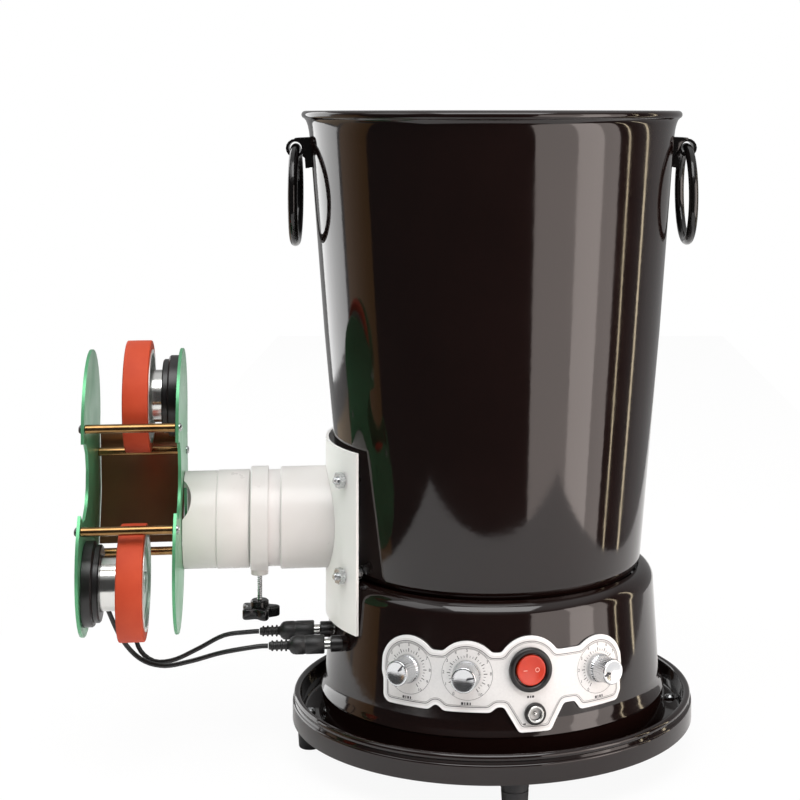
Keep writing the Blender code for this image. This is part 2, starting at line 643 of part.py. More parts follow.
def ball_feed():
    """Gear motor under the deck, its shaft, the rotor with paddles and the cap on top."""
    bore = SHAFT_RADIUS + GAP
    disc_top = ROTOR_BOTTOM + ROTOR_DISC
    hub_top = disc_top + ROTOR_HUB_HEIGHT
    boss_bottom = BUCKET_BOTTOM + BUCKET_SHEET + RUNNING_GAP
    rotor = turned("feed_rotor", [
        (bore, hub_top),
        (ROTOR_HUB_TOP_RADIUS, hub_top),
        (ROTOR_HUB_RADIUS, disc_top + 0.002),
        (ROTOR_HUB_RADIUS + 0.002, disc_top),
        (ROTOR_RADIUS, disc_top),
        (ROTOR_RADIUS, ROTOR_BOTTOM),
        (ROTOR_BOSS_RADIUS, ROTOR_BOTTOM),
        (ROTOR_BOSS_RADIUS, boss_bottom),
        (bore, boss_bottom),
    ], WHITE_PLASTIC, machine, TUBE_SEGMENTS, True)
    for i in range(PADDLE_COUNT):
        paddle = block("paddle_%d" % (i + 1), (ROTOR_HUB_TOP_RADIUS, -0.5 * PADDLE_WIDTH, disc_top - 0.001),
                       (ROTOR_RADIUS - 0.001, 0.5 * PADDLE_WIDTH, disc_top + PADDLE_HEIGHT), None, machine,
                       rotation=(0.0, 0.0, 2.0 * math.pi * (i + 0.25) / PADDLE_COUNT))
        join(rotor, paddle)
    cap_bottom = hub_top + GAP
    cap_bore_top = cap_bottom + 0.7 * CAP_HEIGHT
    turned("rotor_cap", [
        (0.0, cap_bottom + CAP_HEIGHT),
        (0.6 * CAP_RADIUS, cap_bottom + CAP_HEIGHT),
        (CAP_RADIUS, cap_bottom + 0.7 * CAP_HEIGHT),
        (CAP_RADIUS, cap_bottom),
        (bore, cap_bottom),
        (bore, cap_bore_top),
        (0.0, cap_bore_top),
    ], BLACK_PLASTIC, machine, 16)
    gearbox_top = DECK_TOP - BASE_SHEET - GAP
    rod("rotor_shaft", SHAFT_RADIUS, gearbox_top - SHAFT_BORE_DEPTH + GAP, cap_bore_top - GAP,
        ZINC, machine, 12)
    turned("feed_gearmotor", [
        (0.0, gearbox_top - SHAFT_BORE_DEPTH),
        (bore, gearbox_top - SHAFT_BORE_DEPTH),
        (bore, gearbox_top),
        (GEARBOX_RADIUS, gearbox_top),
        (GEARBOX_RADIUS, gearbox_top - GEARBOX_HEIGHT),
        (GEAR_MOTOR_RADIUS, gearbox_top - GEARBOX_HEIGHT),
        (GEAR_MOTOR_RADIUS, gearbox_top - GEARBOX_HEIGHT - GEAR_MOTOR_HEIGHT),
        (0.0, gearbox_top - GEARBOX_HEIGHT - GEAR_MOTOR_HEIGHT),
    ], ZINC, machine, 20)


def circuit_board():
    """Control board on four posts over the tray."""
    length, width, sheet = BOARD_SIZE
    x, y = BOARD_PLACE
    bottom = TRAY_TOP + BOARD_RISE
    board = block("circuit_board", (x - 0.5 * length, y - 0.5 * width, bottom),
                  (x + 0.5 * length, y + 0.5 * width, bottom + sheet), BOARD_FINISH, machine)
    inset = 2.0 * BOARD_POST_RADIUS
    for i, (along, across) in enumerate(((-1, -1), (-1, 1), (1, -1), (1, 1)), start=1):
        place = (x + along * (0.5 * length - inset), y + across * (0.5 * width - inset), 0.0)
        post = rod("board_post_%d" % i, BOARD_POST_RADIUS, TRAY_TOP + GAP, bottom + 0.5 * sheet,
                   None, machine, 8, location=place)
        join(board, post)


def bent_sheet(name, columns, wall, sheet, material):
    """A sheet bent round the machine's axis from columns of (angle, heights)."""
    shape = bmesh.new()
    edges = []
    for angle, heights in columns:
        edge = []
        for height in heights:
            radius = wall(height)
            edge.append(shape.verts.new((radius * math.sin(angle), -radius * math.cos(angle), height)))
        edges.append(edge)
    for left, right in zip(edges, edges[1:]):
        for row in range(len(left) - 1):
            shape.faces.new((left[row], right[row], right[row + 1], left[row + 1]))
    item = add(name, mesh_from_open(name, shape), material, machine)
    solid = item.modifiers.new("sheet", "SOLIDIFY")
    solid.thickness = sheet
    solid.offset = 1.0
    return item


def mesh_from_open(name, shape):
    """Write an open sheet to a mesh with the faces as they were drawn, facing out."""
    mesh = bpy.data.meshes.new(name)
    shape.to_mesh(mesh)
    shape.free()
    return mesh


def mount_plate(bucket):
    """White sheet bent round the drum that carries the ball tube, with its four bolts."""
    columns = []
    for i in range(PLATE_COLUMNS + 1):
        angle = -math.pi / 2.0 + PLATE_HALF_ANGLE * (2.0 * i / PLATE_COLUMNS - 1.0)
        columns.append((angle, (PLATE_BOTTOM, PLATE_TOP)))
    plate = bent_sheet("mount_plate", columns, lambda height: PLATE_INNER_RADIUS, PLATE_SHEET, WHITE_PVC)
    opening = rod("plate_opening", FEED_TUBE_RADIUS + GAP, PLATE_INNER_RADIUS - 0.03, PLATE_INNER_RADIUS + 0.01,
                  None, tube_line, TUBE_SEGMENTS, rotation=ALONG_TUBE)
    cut(plate, opening)
    outer = PLATE_INNER_RADIUS + PLATE_SHEET
    number = 0
    for height in BOLT_HEIGHTS:
        for turn in (-BOLT_ANGLE, BOLT_ANGLE):
            number += 1
            wall = bucket_radius(height)
            frame = empty("bolt_frame_%d" % number, machine, (0.0, 0.0, height),
                          (0.0, -math.pi / 2.0, turn))
            mount_bolt(number, frame, height, outer)
            hole = rod("bolt_hole_%d" % number, BOLT_RADIUS + GAP, wall - 0.006, outer + 0.006, None,
                       frame, TINY_SEGMENTS)
            cut(plate, hole)
            cut(bucket, hole)
    return plate


def mount_bolt(number, frame, height, outer):
    """Bolt from inside the bucket, with a spacer sleeve, a nut and the thread's end."""
    nut_bottom = outer + 2.0 * GAP
    nut_top = nut_bottom + BOLT_NUT_HEIGHT
    head_top = bucket_radius(height - BOLT_HEAD_RADIUS) - BUCKET_SHEET - 2.0 * GAP
    spacer_bottom = bucket_radius(height + SPACER_RADIUS) + GAP
    spacer_top = PLATE_INNER_RADIUS - 2.0 * GAP
    outline = [
        (0.0, nut_top + BOLT_END_HEIGHT),
        (0.7 * BOLT_RADIUS, nut_top + BOLT_END_HEIGHT),
        (BOLT_RADIUS, nut_top + 0.6 * BOLT_END_HEIGHT),
        (BOLT_RADIUS, nut_top - 0.2 * BOLT_NUT_HEIGHT),
        (BOLT_RADIUS, spacer_top),
        (SPACER_RADIUS, spacer_top),
        (SPACER_RADIUS, spacer_bottom),
        (BOLT_RADIUS, spacer_bottom),
        (BOLT_RADIUS, head_top),
        (BOLT_HEAD_RADIUS, head_top),
        (0.7 * BOLT_HEAD_RADIUS, head_top - BOLT_HEAD_HEIGHT),
        (0.0, head_top - BOLT_HEAD_HEIGHT),
    ]
    bolt = turned("plate_bolt_%d" % number, outline, ZINC, frame, TINY_SEGMENTS)
    nut = rod("plate_nut_%d" % number, BOLT_NUT_RADIUS, nut_bottom, nut_top, None, frame, 6)
    join(bolt, nut)


def feed_tube():
    """Fixed ball tube from the bucket's outlet, with a thin neck under the clamp collar."""
    bore = SPIGOT_RADIUS + GAP
    neck = bore + FEED_NECK_WALL
    neck_end = COLLAR_END - GAP
    start = bucket_radius(TUBE_HEIGHT) - FEED_TUBE_ROOT
    tube = turned("feed_tube", [
        (neck, neck_end),
        (neck, FEED_TUBE_END),
        (FEED_TUBE_RADIUS - TUBE_EDGE, FEED_TUBE_END),
        (FEED_TUBE_RADIUS, FEED_TUBE_END - TUBE_EDGE),
        (FEED_TUBE_RADIUS, start),
        (TUBE_BORE_RADIUS, start),
        (TUBE_BORE_RADIUS, SPIGOT_START - GAP),
        (bore, SPIGOT_START - GAP),
        (bore, neck_end),
    ], WHITE_PVC, tube_line, TUBE_SEGMENTS, True, rotation=ALONG_TUBE)
    low = TUBE_HEIGHT - SADDLE_REACH
    high = TUBE_HEIGHT + SADDLE_REACH
    corner = BUCKET_BOTTOM + BUCKET_CORNER
    shoulder = (BASE_TOP_RADIUS - BASE_SHOULDER, BASE_TOP - BASE_SHOULDER)
    outline = [
        (0.0, high),
        (bucket_radius(high) + GAP, high),
        (bucket_radius(corner) + GAP, corner),
        (bucket_radius(corner) + GAP, BASE_TOP + GAP),
    ]
    outline += arc(shoulder, BASE_SHOULDER + GAP, 75.0, 0.0, 5)
    outline += [(base_radius(low) + GAP, low), (0.0, low)]
    saddle = turned("tube_saddle", outline, None, machine, LARGE_SEGMENTS)
    cut(tube, saddle)
    return tube


def clamp(tube):
    """Split collar on the tube's neck and the lobed screw that locks the head's pitch."""
    middle = 0.5 * (COLLAR_START + COLLAR_END)
    neck = SPIGOT_RADIUS + GAP + FEED_NECK_WALL
    collar = turned("clamp_collar", [
        (neck + GAP, COLLAR_END),
        (COLLAR_RADIUS - TUBE_EDGE, COLLAR_END),
        (COLLAR_RADIUS, COLLAR_END - TUBE_EDGE),
        (COLLAR_RADIUS, COLLAR_START),
        (neck + GAP, COLLAR_START),
    ], WHITE_PVC, tube_line, TUBE_SEGMENTS, True, rotation=ALONG_TUBE)
    place = (-middle, 0.0, 0.0)
    boss = rod("collar_boss", COLLAR_BOSS_RADIUS, -COLLAR_BOSS_DROP, -0.5 * (neck + COLLAR_RADIUS), None,
               tube_line, 16, location=place)
    hole = rod("stud_hole", CLAMP_STUD_RADIUS + GAP, -COLLAR_BOSS_DROP - 0.002, -SPIGOT_RADIUS + 0.002, None,
               tube_line, 12, location=place)
    join(collar, boss)
    cut(collar, hole)
    cut(tube, hole)
    knob_top = -CLAMP_KNOB_DROP
    knob_bottom = knob_top - CLAMP_KNOB_HEIGHT
    web = knob_top - 0.35 * CLAMP_KNOB_HEIGHT
    stud_top = -SPIGOT_RADIUS - CLAMP_TIP_GAP
    hub = 0.45 * CLAMP_KNOB_RADIUS
    lobe = 0.36 * CLAMP_KNOB_RADIUS
    screw = turned("clamp_screw", [
        (0.0, stud_top),
        (CLAMP_STUD_RADIUS, stud_top),
        (CLAMP_STUD_RADIUS, knob_top),
        (hub, knob_top),
        (hub, web),
        (0.7 * CLAMP_KNOB_RADIUS, web),
        (0.7 * CLAMP_KNOB_RADIUS, knob_bottom + 0.001),
        (0.6 * CLAMP_KNOB_RADIUS, knob_bottom),
        (0.0, knob_bottom),
    ], BLACK_PLASTIC, tube_line, 20, location=place)
    for i in range(CLAMP_LOBES):
        angle = 2.0 * math.pi * i / CLAMP_LOBES
        reach = CLAMP_KNOB_RADIUS - lobe
        spot = (reach * math.cos(angle) - middle, reach * math.sin(angle), 0.0)
        ear = rod("clamp_lobe_%d" % (i + 1), lobe, knob_bottom + 0.0012, web + 0.0006, None, tube_line, 10,
                  location=spot)
        join(screw, ear)


def head_tube():
    """Turning part of the ball tube, whose spigot sits in the fixed tube."""
    end = INNER_SIDE - GAP
    tube = turned("head_tube", [
        (HEAD_TUBE_END_RADIUS, end),
        (HEAD_TUBE_END_RADIUS, HEAD_TUBE_STEP),
        (HEAD_TUBE_RADIUS, HEAD_TUBE_STEP),
        (HEAD_TUBE_RADIUS, COLLAR_END + RUNNING_GAP),
        (SPIGOT_RADIUS, COLLAR_END + RUNNING_GAP),
        (SPIGOT_RADIUS, SPIGOT_START),
        (TUBE_BORE_RADIUS, SPIGOT_START),
        (TUBE_BORE_RADIUS, end),
    ], WHITE_PVC, head_pivot, TUBE_SEGMENTS, True, rotation=ALONG_TUBE)
    notch = rod("tube_notch", TUBE_END_NOTCH_RADIUS, 0.8 * TUBE_BORE_RADIUS, HEAD_TUBE_RADIUS + 0.004, None,
                head_pivot, 24, location=(-end - 0.68 * TUBE_END_NOTCH_RADIUS, 0.0, 0.5 * NIP_UP),
                rotation=(math.pi / 2.0, 0.0, 0.0))
    cut(tube, notch)


def circles_meet(first, first_radius, second, second_radius, sign):
    """Where two circles cross; sign picks the crossing."""
    dx = second[0] - first[0]
    dy = second[1] - first[1]
    gap = math.hypot(dx, dy)
    along = (gap ** 2 + first_radius ** 2 - second_radius ** 2) / (2.0 * gap)
    across = sign * math.sqrt(first_radius ** 2 - along ** 2)
    return (first[0] + (along * dx - across * dy) / gap, first[1] + (along * dy + across * dx) / gap)


def angle_of(point, centre):
    """Direction of a point seen from a centre, in degrees."""
    return math.degrees(math.atan2(point[1] - centre[1], point[0] - centre[0]))


def side_outline():
    """Outline of a side plate, forward and up from the tube's axis: two lobes and a waist."""
    upper = (NIP_FORWARD - LOBE_BACK, NIP_UP + LOBE_UP)
    lower = (NIP_FORWARD - LOBE_BACK, NIP_UP - LOBE_UP)
    waist = (NIP_FORWARD + WAIST_RADIUS, NIP_UP)
    high = circles_meet(upper, LOBE_RADIUS, waist, WAIST_RADIUS, 1.0)
    low = circles_meet(lower, LOBE_RADIUS, waist, WAIST_RADIUS, -1.0)
    outline = arc(upper, LOBE_RADIUS, 172.0, angle_of(high, upper), 20)
    outline += arc(waist, WAIST_RADIUS, angle_of(high, waist), angle_of(low, waist) + 360.0, 9)[1:-1]
    outline += arc(lower, LOBE_RADIUS, angle_of(low, lower), -187.0, 20)
    outline += [
        (-SIDE_BACK + 0.004, -SIDE_BACK_BOTTOM),
        (-SIDE_BACK, -SIDE_BACK_BOTTOM + 0.004),
        (-SIDE_BACK, SIDE_BACK_TOP - 0.010),
        (upper[0] - LOBE_RADIUS - 0.0015, upper[1] + 0.0005),
    ]
    return outline


def throwing_head():
    """Two polished side plates held apart by four rods, with a sheet behind the ball."""
    outline = [(up, -forward) for forward, up in side_outline()]
    inner = prism("inner_plate", outline, SIDE_SHEET, STEEL, head_pivot,
                  location=(-INNER_SIDE, 0.0, 0.0), rotation=ALONG_TUBE)
    outer = prism("outer_plate", outline, SIDE_SHEET, STEEL, head_pivot,
                  location=(-OUTER_SIDE, 0.0, 0.0), rotation=ALONG_TUBE)
    entry = rod("entry_hole", TUBE_BORE_RADIUS, INNER_SIDE - 0.002, INNER_SIDE + SIDE_SHEET + 0.002, None,
                head_pivot, TUBE_SEGMENTS, rotation=ALONG_TUBE)
    cut(inner, entry)
    for name, (forward, up) in ROD_PLACES.items():
        place = (0.0, -NIP_FORWARD - forward, NIP_UP + up)
        spacer_rod(name, place)
        hole = rod("rod_hole_%s" % name, ROD_STUB_RADIUS + GAP, INNER_SIDE - 0.003,
                   OUTER_SIDE + SIDE_SHEET + 0.003, None, head_pivot, TINY_SEGMENTS,
                   location=place, rotation=ALONG_TUBE)
        cut(inner, hole)
        cut(outer, hole)
    face = [(BACK_PANEL_BOTTOM, BACK_PANEL_PLACE), (SIDE_BACK_TOP - 0.011, BACK_PANEL_PLACE),
            (NIP_UP + LOBE_UP + 0.001, LOBE_RADIUS + LOBE_BACK - NIP_FORWARD - 0.0008)]
    back = [(up, behind + BACK_PANEL_SHEET) for up, behind in reversed(face)]
    prism("back_panel", face + back, OUTER_SIDE - INNER_SIDE - SIDE_SHEET - 2.0 * GAP, STEEL, head_pivot,
          location=(-INNER_SIDE - SIDE_SHEET - GAP, 0.0, 0.0), rotation=ALONG_TUBE)


def spacer_rod(name, place):
    """Plated rod between the side plates, with a screw head outside each plate."""
    inner_face = INNER_SIDE + SIDE_SHEET + GAP
    outer_face = OUTER_SIDE - GAP
    outer_head = OUTER_SIDE + SIDE_SHEET + GAP
    inner_head = INNER_SIDE - GAP
    outline = [
        (0.0, outer_head + ROD_HEAD_HEIGHT),
        (0.7 * ROD_HEAD_RADIUS, outer_head + ROD_HEAD_HEIGHT),
        (ROD_HEAD_RADIUS, outer_head + 0.4 * ROD_HEAD_HEIGHT),
        (ROD_HEAD_RADIUS, outer_head),
        (ROD_STUB_RADIUS, outer_head),
        (ROD_STUB_RADIUS, outer_face),
        (ROD_RADIUS, outer_face),
        (ROD_RADIUS, inner_face),
        (ROD_STUB_RADIUS, inner_face),
    ]
    clear_of_tube = math.hypot(place[1], place[2]) > HEAD_TUBE_RADIUS + ROD_HEAD_RADIUS + GAP
    if clear_of_tube:
        outline += [
            (ROD_STUB_RADIUS, inner_head),
            (ROD_HEAD_RADIUS, inner_head),
            (0.7 * ROD_HEAD_RADIUS, inner_head - ROD_HEAD_HEIGHT),
            (0.0, inner_head - ROD_HEAD_HEIGHT),
        ]
    else:
        outline += [(ROD_STUB_RADIUS, INNER_SIDE + GAP), (0.0, INNER_SIDE + GAP)]
    turned("spacer_rod_%s" % name, outline, BRASS, head_pivot, 12, location=place, rotation=ALONG_TUBE)


def wheel_unit(name, up, rotation, plate_distance):
    """A rubber-tyred wheel with its hub and axle, its motor and the motor's black holder."""
    axle = empty("axle_%s" % name, head_pivot, (-WHEEL_MIDDLE, -NIP_FORWARD, NIP_UP + up), rotation)
    half_tyre = 0.5 * TYRE_WIDTH
    seat = WHEEL_RADIUS - TYRE_THICKNESS
    turned("%s_tyre" % name, [
        (seat, half_tyre),
        (WHEEL_RADIUS - TYRE_EDGE, half_tyre),
        (WHEEL_RADIUS, half_tyre - TYRE_EDGE),
        (WHEEL_RADIUS, -half_tyre + TYRE_EDGE),
        (WHEEL_RADIUS - TYRE_EDGE, -half_tyre),
        (seat, -half_tyre),
    ], RUBBER, axle, 36, True)
    rim = seat - GAP
    rim_inner = rim - HUB_RIM
    half_rim = half_tyre + HUB_RIM_PROUD
    web_face = half_rim - HUB_FACE_SET
    web_back = web_face - HUB_WEB
    boss_back = web_back - HUB_BOSS_HEIGHT
    motor_face = boss_back - MOTOR_GAP
    axle_end = motor_face - AXLE_DEPTH
    turned("%s_hub" % name, [
        (0.0, web_face + HUB_BOSS_HEIGHT),
        (HUB_BOSS_RADIUS, web_face + HUB_BOSS_HEIGHT),
        (HUB_BOSS_RADIUS, web_face),
        (rim_inner, web_face),
        (rim_inner, half_rim),
        (rim, half_rim),
        (rim, -half_rim),
        (rim_inner, -half_rim),
        (rim_inner, web_back),
        (HUB_BOSS_RADIUS, web_back),
        (HUB_BOSS_RADIUS, boss_back),
        (AXLE_RADIUS, boss_back),
        (AXLE_RADIUS, axle_end),
        (0.0, axle_end),
    ], CHROME, axle, 28)
    holder_back = -plate_distance + GAP
    holder_face = holder_back + HOLDER_DEPTH
    floor = holder_back + HOLDER_FLOOR
    turned("%s_motor" % name, [
        (0.0, axle_end - GAP),
        (AXLE_RADIUS + GAP, axle_end - GAP),
        (AXLE_RADIUS + GAP, motor_face),
        (MOTOR_RADIUS - MOTOR_EDGE, motor_face),
        (MOTOR_RADIUS, motor_face - MOTOR_EDGE),
        (MOTOR_RADIUS, floor + GAP),
        (0.0, floor + GAP),
    ], CHROME, axle, 20)
    pocket = MOTOR_RADIUS + GAP
    turned("%s_motor_holder" % name, [
        (0.0, floor),
        (pocket, floor),
        (pocket, holder_face),
        (HOLDER_RADIUS - MOTOR_EDGE, holder_face),
        (HOLDER_RADIUS, holder_face - MOTOR_EDGE),
        (HOLDER_RADIUS, holder_back),
        (0.0, holder_back),
    ], BLACK_PLASTIC, axle, 24)


def panel_columns():
    """Columns of the control panel: round lobes over the controls, tabs below them."""
    radius = base_radius(SWITCH_HEIGHT)
    lobes = [(angle * radius, height, KNOB_LOBE_RADIUS) for angle, height in KNOB_PLACES.values()]
    lobes.append((SWITCH_ANGLE * radius, SWITCH_HEIGHT, SWITCH_LOBE_RADIUS))
    tabs = [(along, height - LABEL_TAB_DROP, LABEL_TAB_HALF, LABEL_TAB_SLOPE) for along, height, _ in lobes[:3]]
    tabs.append((JACK_ANGLE * radius, JACK_TAB_BOTTOM, JACK_TAB_HALF, JACK_TAB_SLOPE))
    band_left = min(lobe[0] for lobe in lobes)
    band_right = max(lobe[0] for lobe in lobes)
    waist = BASE_BOTTOM + BASE_WAIST_RISE
    stations = set()
    for along, _, reach in lobes:
        stations.update(along + reach * math.cos(math.radians(turn)) for turn in range(6, 180, 21))
    for along, _, half, slope in tabs:
        stations.update((along - half - slope, along - half, along + half, along + half + slope))
    columns = []
    for station in sorted(stations):
        tops = []
        bottoms = []
        if band_left <= station <= band_right:
            tops.append(PANEL_TOP)
            bottoms.append(PANEL_BOTTOM)
        for along, height, reach in lobes:
            rise = reach ** 2 - (station - along) ** 2
            if rise > 0.0:
                tops.append(height + math.sqrt(rise))
                bottoms.append(height - math.sqrt(rise))
        for along, low, half, slope in tabs:
            beyond = abs(station - along) - half
            if beyond < slope:
                bottoms.append(low + (PANEL_BOTTOM - low) * max(0.0, beyond) / slope)
        low = min(bottoms)
        columns.append((station / radius, (low, max(waist, low + PANEL_BEND), max(tops))))
    return columns


def controls(drum):
    """Printed panel on the drum with three knobs, the round switch and the power jack."""
    panel = bent_sheet("control_panel", panel_columns(), lambda height: base_radius(height) + GAP,
                       PANEL_SHEET, PANEL_FINISH)
    for name, (angle, height) in KNOB_PLACES.items():
        frame = wall_frame("frame_%s" % name, angle, height)
        knob_and_pot(name, frame)
        hole = rod("hole_%s" % name, POT_BUSHING_RADIUS + GAP, -0.006, 0.004, None, frame, 12)
        cut(drum, hole)
        cut(panel, hole)
    switch = wall_frame("frame_switch", SWITCH_ANGLE, SWITCH_HEIGHT)
    power_switch(switch)
    switch_hole = rod("hole_switch", SWITCH_BODY_RADIUS + GAP, -0.008, 0.005, None, switch, 20)
    jack = wall_frame("frame_jack", JACK_ANGLE, JACK_HEIGHT)
    power_jack(jack)
    jack_hole = rod("hole_jack", JACK_NUT_RADIUS - 0.0007 + GAP, -0.006, 0.004, None, jack, 16)
    cut(drum, switch_hole, jack_hole)
    cut(panel, switch_hole, jack_hole)


def knob_and_pot(name, frame):
    """A turned aluminium knob with its shaft, and the potentiometer behind the wall."""
    base = GAP + PANEL_SHEET + 1.5 * GAP
    top = GAP + PANEL_SHEET + KNOB_REACH
    body_front = -BASE_SHEET - 0.0013
    bore = POT_SHAFT_RADIUS + GAP
    bore_end = body_front - 0.007
    cavity = POT_BUSHING_RADIUS + 2.0 * GAP
    turned(name, [
        (0.0, top),
        (0.92 * KNOB_RADIUS, top),
        (KNOB_RADIUS, top - 0.0006),
        (KNOB_RADIUS, base + 0.0026),
        (KNOB_SKIRT_RADIUS, base + 0.0018),
        (KNOB_SKIRT_RADIUS, base),
        (cavity, base),
        (cavity, base + 0.0035),
        (POT_SHAFT_RADIUS, base + 0.0035),
        (POT_SHAFT_RADIUS, bore_end + RUNNING_GAP),
        (0.0, bore_end + RUNNING_GAP),
    ], ALUMINIUM, frame, 18)
    turned("potentiometer_%s" % name.split("_", 1)[1], [
        (0.0, bore_end),
        (bore, bore_end),
        (bore, base + 0.0030),
        (POT_BUSHING_RADIUS, base + 0.0030),
        (POT_BUSHING_RADIUS, body_front),
        (POT_BODY_RADIUS, body_front),
        (POT_BODY_RADIUS, body_front - POT_BODY_DEPTH),
        (0.0, body_front - POT_BODY_DEPTH),
    ], ZINC, frame, 14)


def power_switch(frame):
    """Round rocker switch: a black bezel and body with a red rocker in its pocket."""
    base = GAP + PANEL_SHEET + GAP
    top = base + BEZEL_HEIGHT
    pocket = ROCKER_RADIUS + 0.0004
    floor = -0.0035
    turned("switch_body", [
        (0.0, floor),
        (pocket, floor),
        (pocket, top - 0.0006),
        (pocket + 0.0006, top),
        (BEZEL_RADIUS - 0.0008, top),
        (BEZEL_RADIUS, top - 0.0009),
        (BEZEL_RADIUS, base),
        (SWITCH_BODY_RADIUS, base),
        (SWITCH_BODY_RADIUS, -SWITCH_BODY_DEPTH),
        (0.0, -SWITCH_BODY_DEPTH),
    ], BLACK_PLASTIC, frame, 24)
    pivot = empty("rocker_pivot", frame, (0.0, 0.0, top - 0.5 * ROCKER_THICKNESS - 0.0002), (0.0, ROCKER_REST, 0.0))
    half = 0.5 * ROCKER_THICKNESS
    turned("switch_rocker", [
        (0.0, half - 0.0004),
        (0.6 * ROCKER_RADIUS, half - 0.0002),
        (ROCKER_RADIUS, half),
        (ROCKER_RADIUS, -half),
        (0.0, -half),
    ], RED_PLASTIC, pivot, 20)


def power_jack(frame):
    """Round low-voltage inlet with a nut, a bright ring and a centre pin."""
    base = GAP + PANEL_SHEET + GAP
    top = base + 0.0022
    turned("power_jack", [
        (0.0, top - 0.0012),
        (JACK_PIN_RADIUS, top - 0.0012),
        (JACK_PIN_RADIUS, -0.006),
        (JACK_HOLE_RADIUS, -0.006),
        (JACK_HOLE_RADIUS, top),
        (JACK_RING_RADIUS, top),
        (JACK_RING_RADIUS, top - 0.0005),
        (JACK_NUT_RADIUS, top - 0.0005),
        (JACK_NUT_RADIUS, base),
        (JACK_NUT_RADIUS - 0.0007, base),
        (JACK_NUT_RADIUS - 0.0007, -JACK_BODY_DEPTH),
        (0.0, -JACK_BODY_DEPTH),
    ], CHROME, frame, 16)


def socket_face(side):
    """Distance of a lead socket's face from the machine's axis, along the tube's line."""
    wall = math.sqrt(base_radius(SOCKET_HEIGHT) ** 2 - SOCKET_SIDES[side] ** 2)
    return wall + SOCKET_REACH


def lead_socket_and_plug(side, drum):
    """A black lead socket through the drum's wall and the plug pushed into it."""
    place = (0.0, SOCKET_SIDES[side], SOCKET_HEIGHT)
    face = socket_face(side)
    bore_end = face - PLUG_BARREL_LENGTH - GAP
    back = face - SOCKET_LENGTH
    turned("lead_socket_%s" % side, [
        (0.0, bore_end),
        (SOCKET_BORE_RADIUS, bore_end),
        (SOCKET_BORE_RADIUS, face),
        (SOCKET_RADIUS, face),
        (SOCKET_RADIUS, back),
        (0.0, back),
    ], BLACK_PLASTIC, machine, 16, location=place, rotation=ALONG_TUBE)
    hole = rod("socket_hole_%s" % side, SOCKET_RADIUS + GAP, back - 0.004, face + 0.004, None, machine, 16,
               location=place, rotation=ALONG_TUBE)
    cut(drum, hole)
    body_start = face + PLUG_STANDOFF
    body_end = body_start + PLUG_LENGTH
    outline = [(0.0, plug_end(side)), (0.7 * BOOT_RADIUS, plug_end(side))]
    pitch = BOOT_LENGTH / (BOOT_RIBS + 0.5)
    for i in range(BOOT_RIBS):
        rib_end = body_end + BOOT_LENGTH - (i + 0.5) * pitch
        outline += [
            (0.75 * BOOT_RADIUS, rib_end + 0.25 * pitch),
            (BOOT_RADIUS, rib_end + 0.2 * pitch),
            (BOOT_RADIUS, rib_end - 0.2 * pitch),
            (0.75 * BOOT_RADIUS, rib_end - 0.25 * pitch),
        ]
    outline += [
        (0.75 * BOOT_RADIUS, body_end + 0.001),
        (PLUG_RADIUS - 0.0012, body_end),
        (PLUG_RADIUS, body_end - 0.0015),
        (PLUG_RADIUS, body_start),
        (PLUG_BARREL_RADIUS, body_start),
        (PLUG_BARREL_RADIUS, face - PLUG_BARREL_LENGTH),
        (0.0, face - PLUG_BARREL_LENGTH),
    ]
    turned("lead_plug_%s" % side, outline, BLACK_PLASTIC, machine, 12, location=place, rotation=ALONG_TUBE)


def plug_end(side):
    """Distance of the plug's cord end from the machine's axis."""
    return socket_face(side) + PLUG_STANDOFF + PLUG_LENGTH + BOOT_LENGTH


def smooth_route(points, step):
    """Points at even steps on a smooth curve through the route's own points."""
    anchors = [Vector(point) for point in points]
    anchors = [2.0 * anchors[0] - anchors[1]] + anchors + [2.0 * anchors[-1] - anchors[-2]]
    fine = []
    for a, b, c, d in zip(anchors, anchors[1:], anchors[2:], anchors[3:]):
        for i in range(40):
            t = i / 40.0
            fine.append(0.5 * (2.0 * b + (c - a) * t + (2.0 * a - 5.0 * b + 4.0 * c - d) * t ** 2
                               + (3.0 * b - a - 3.0 * c + d) * t ** 3))
    fine.append(anchors[-2])
    travelled = [0.0]
    for a, b in zip(fine, fine[1:]):
        travelled.append(travelled[-1] + (b - a).length)
    count = max(2, round(travelled[-1] / step))
    even = []
    place = 0
    for i in range(count + 1):
        wanted = travelled[-1] * i / count
        while place < len(fine) - 2 and travelled[place + 1] < wanted:
            place += 1
        span = travelled[place + 1] - travelled[place]
        share = (wanted - travelled[place]) / span if span else 0.0
        even.append(fine[place].lerp(fine[place + 1], min(1.0, share)))
    print("lead length %.4f m" % travelled[-1])
    return even


def motor_lead(name, route):
    """A free motor lead as a thin tube along its route."""
    points = smooth_route(route, LEAD_STEP)
    curve = bpy.data.curves.new(name, "CURVE")
    curve.dimensions = "3D"
    curve.bevel_depth = LEAD_RADIUS
    curve.bevel_resolution = 2
    curve.use_fill_caps = True
    spline = curve.splines.new("POLY")
    spline.points.add(len(points) - 1)
    for spot, point in zip(spline.points, points):
        spot.co = (point.x, point.y, point.z, 1.0)
    add(name, curve, CORD_FINISH, machine)


def in_head(along, forward, up):
    """A point given in the tilted head, relative to the machine's axis on the table."""
    turn = Matrix.Rotation(-HEAD_PITCH, 3, "X")
    spot = turn @ Vector((0.0, -forward, up))
    return (-along, spot.y, TUBE_HEIGHT + spot.z)


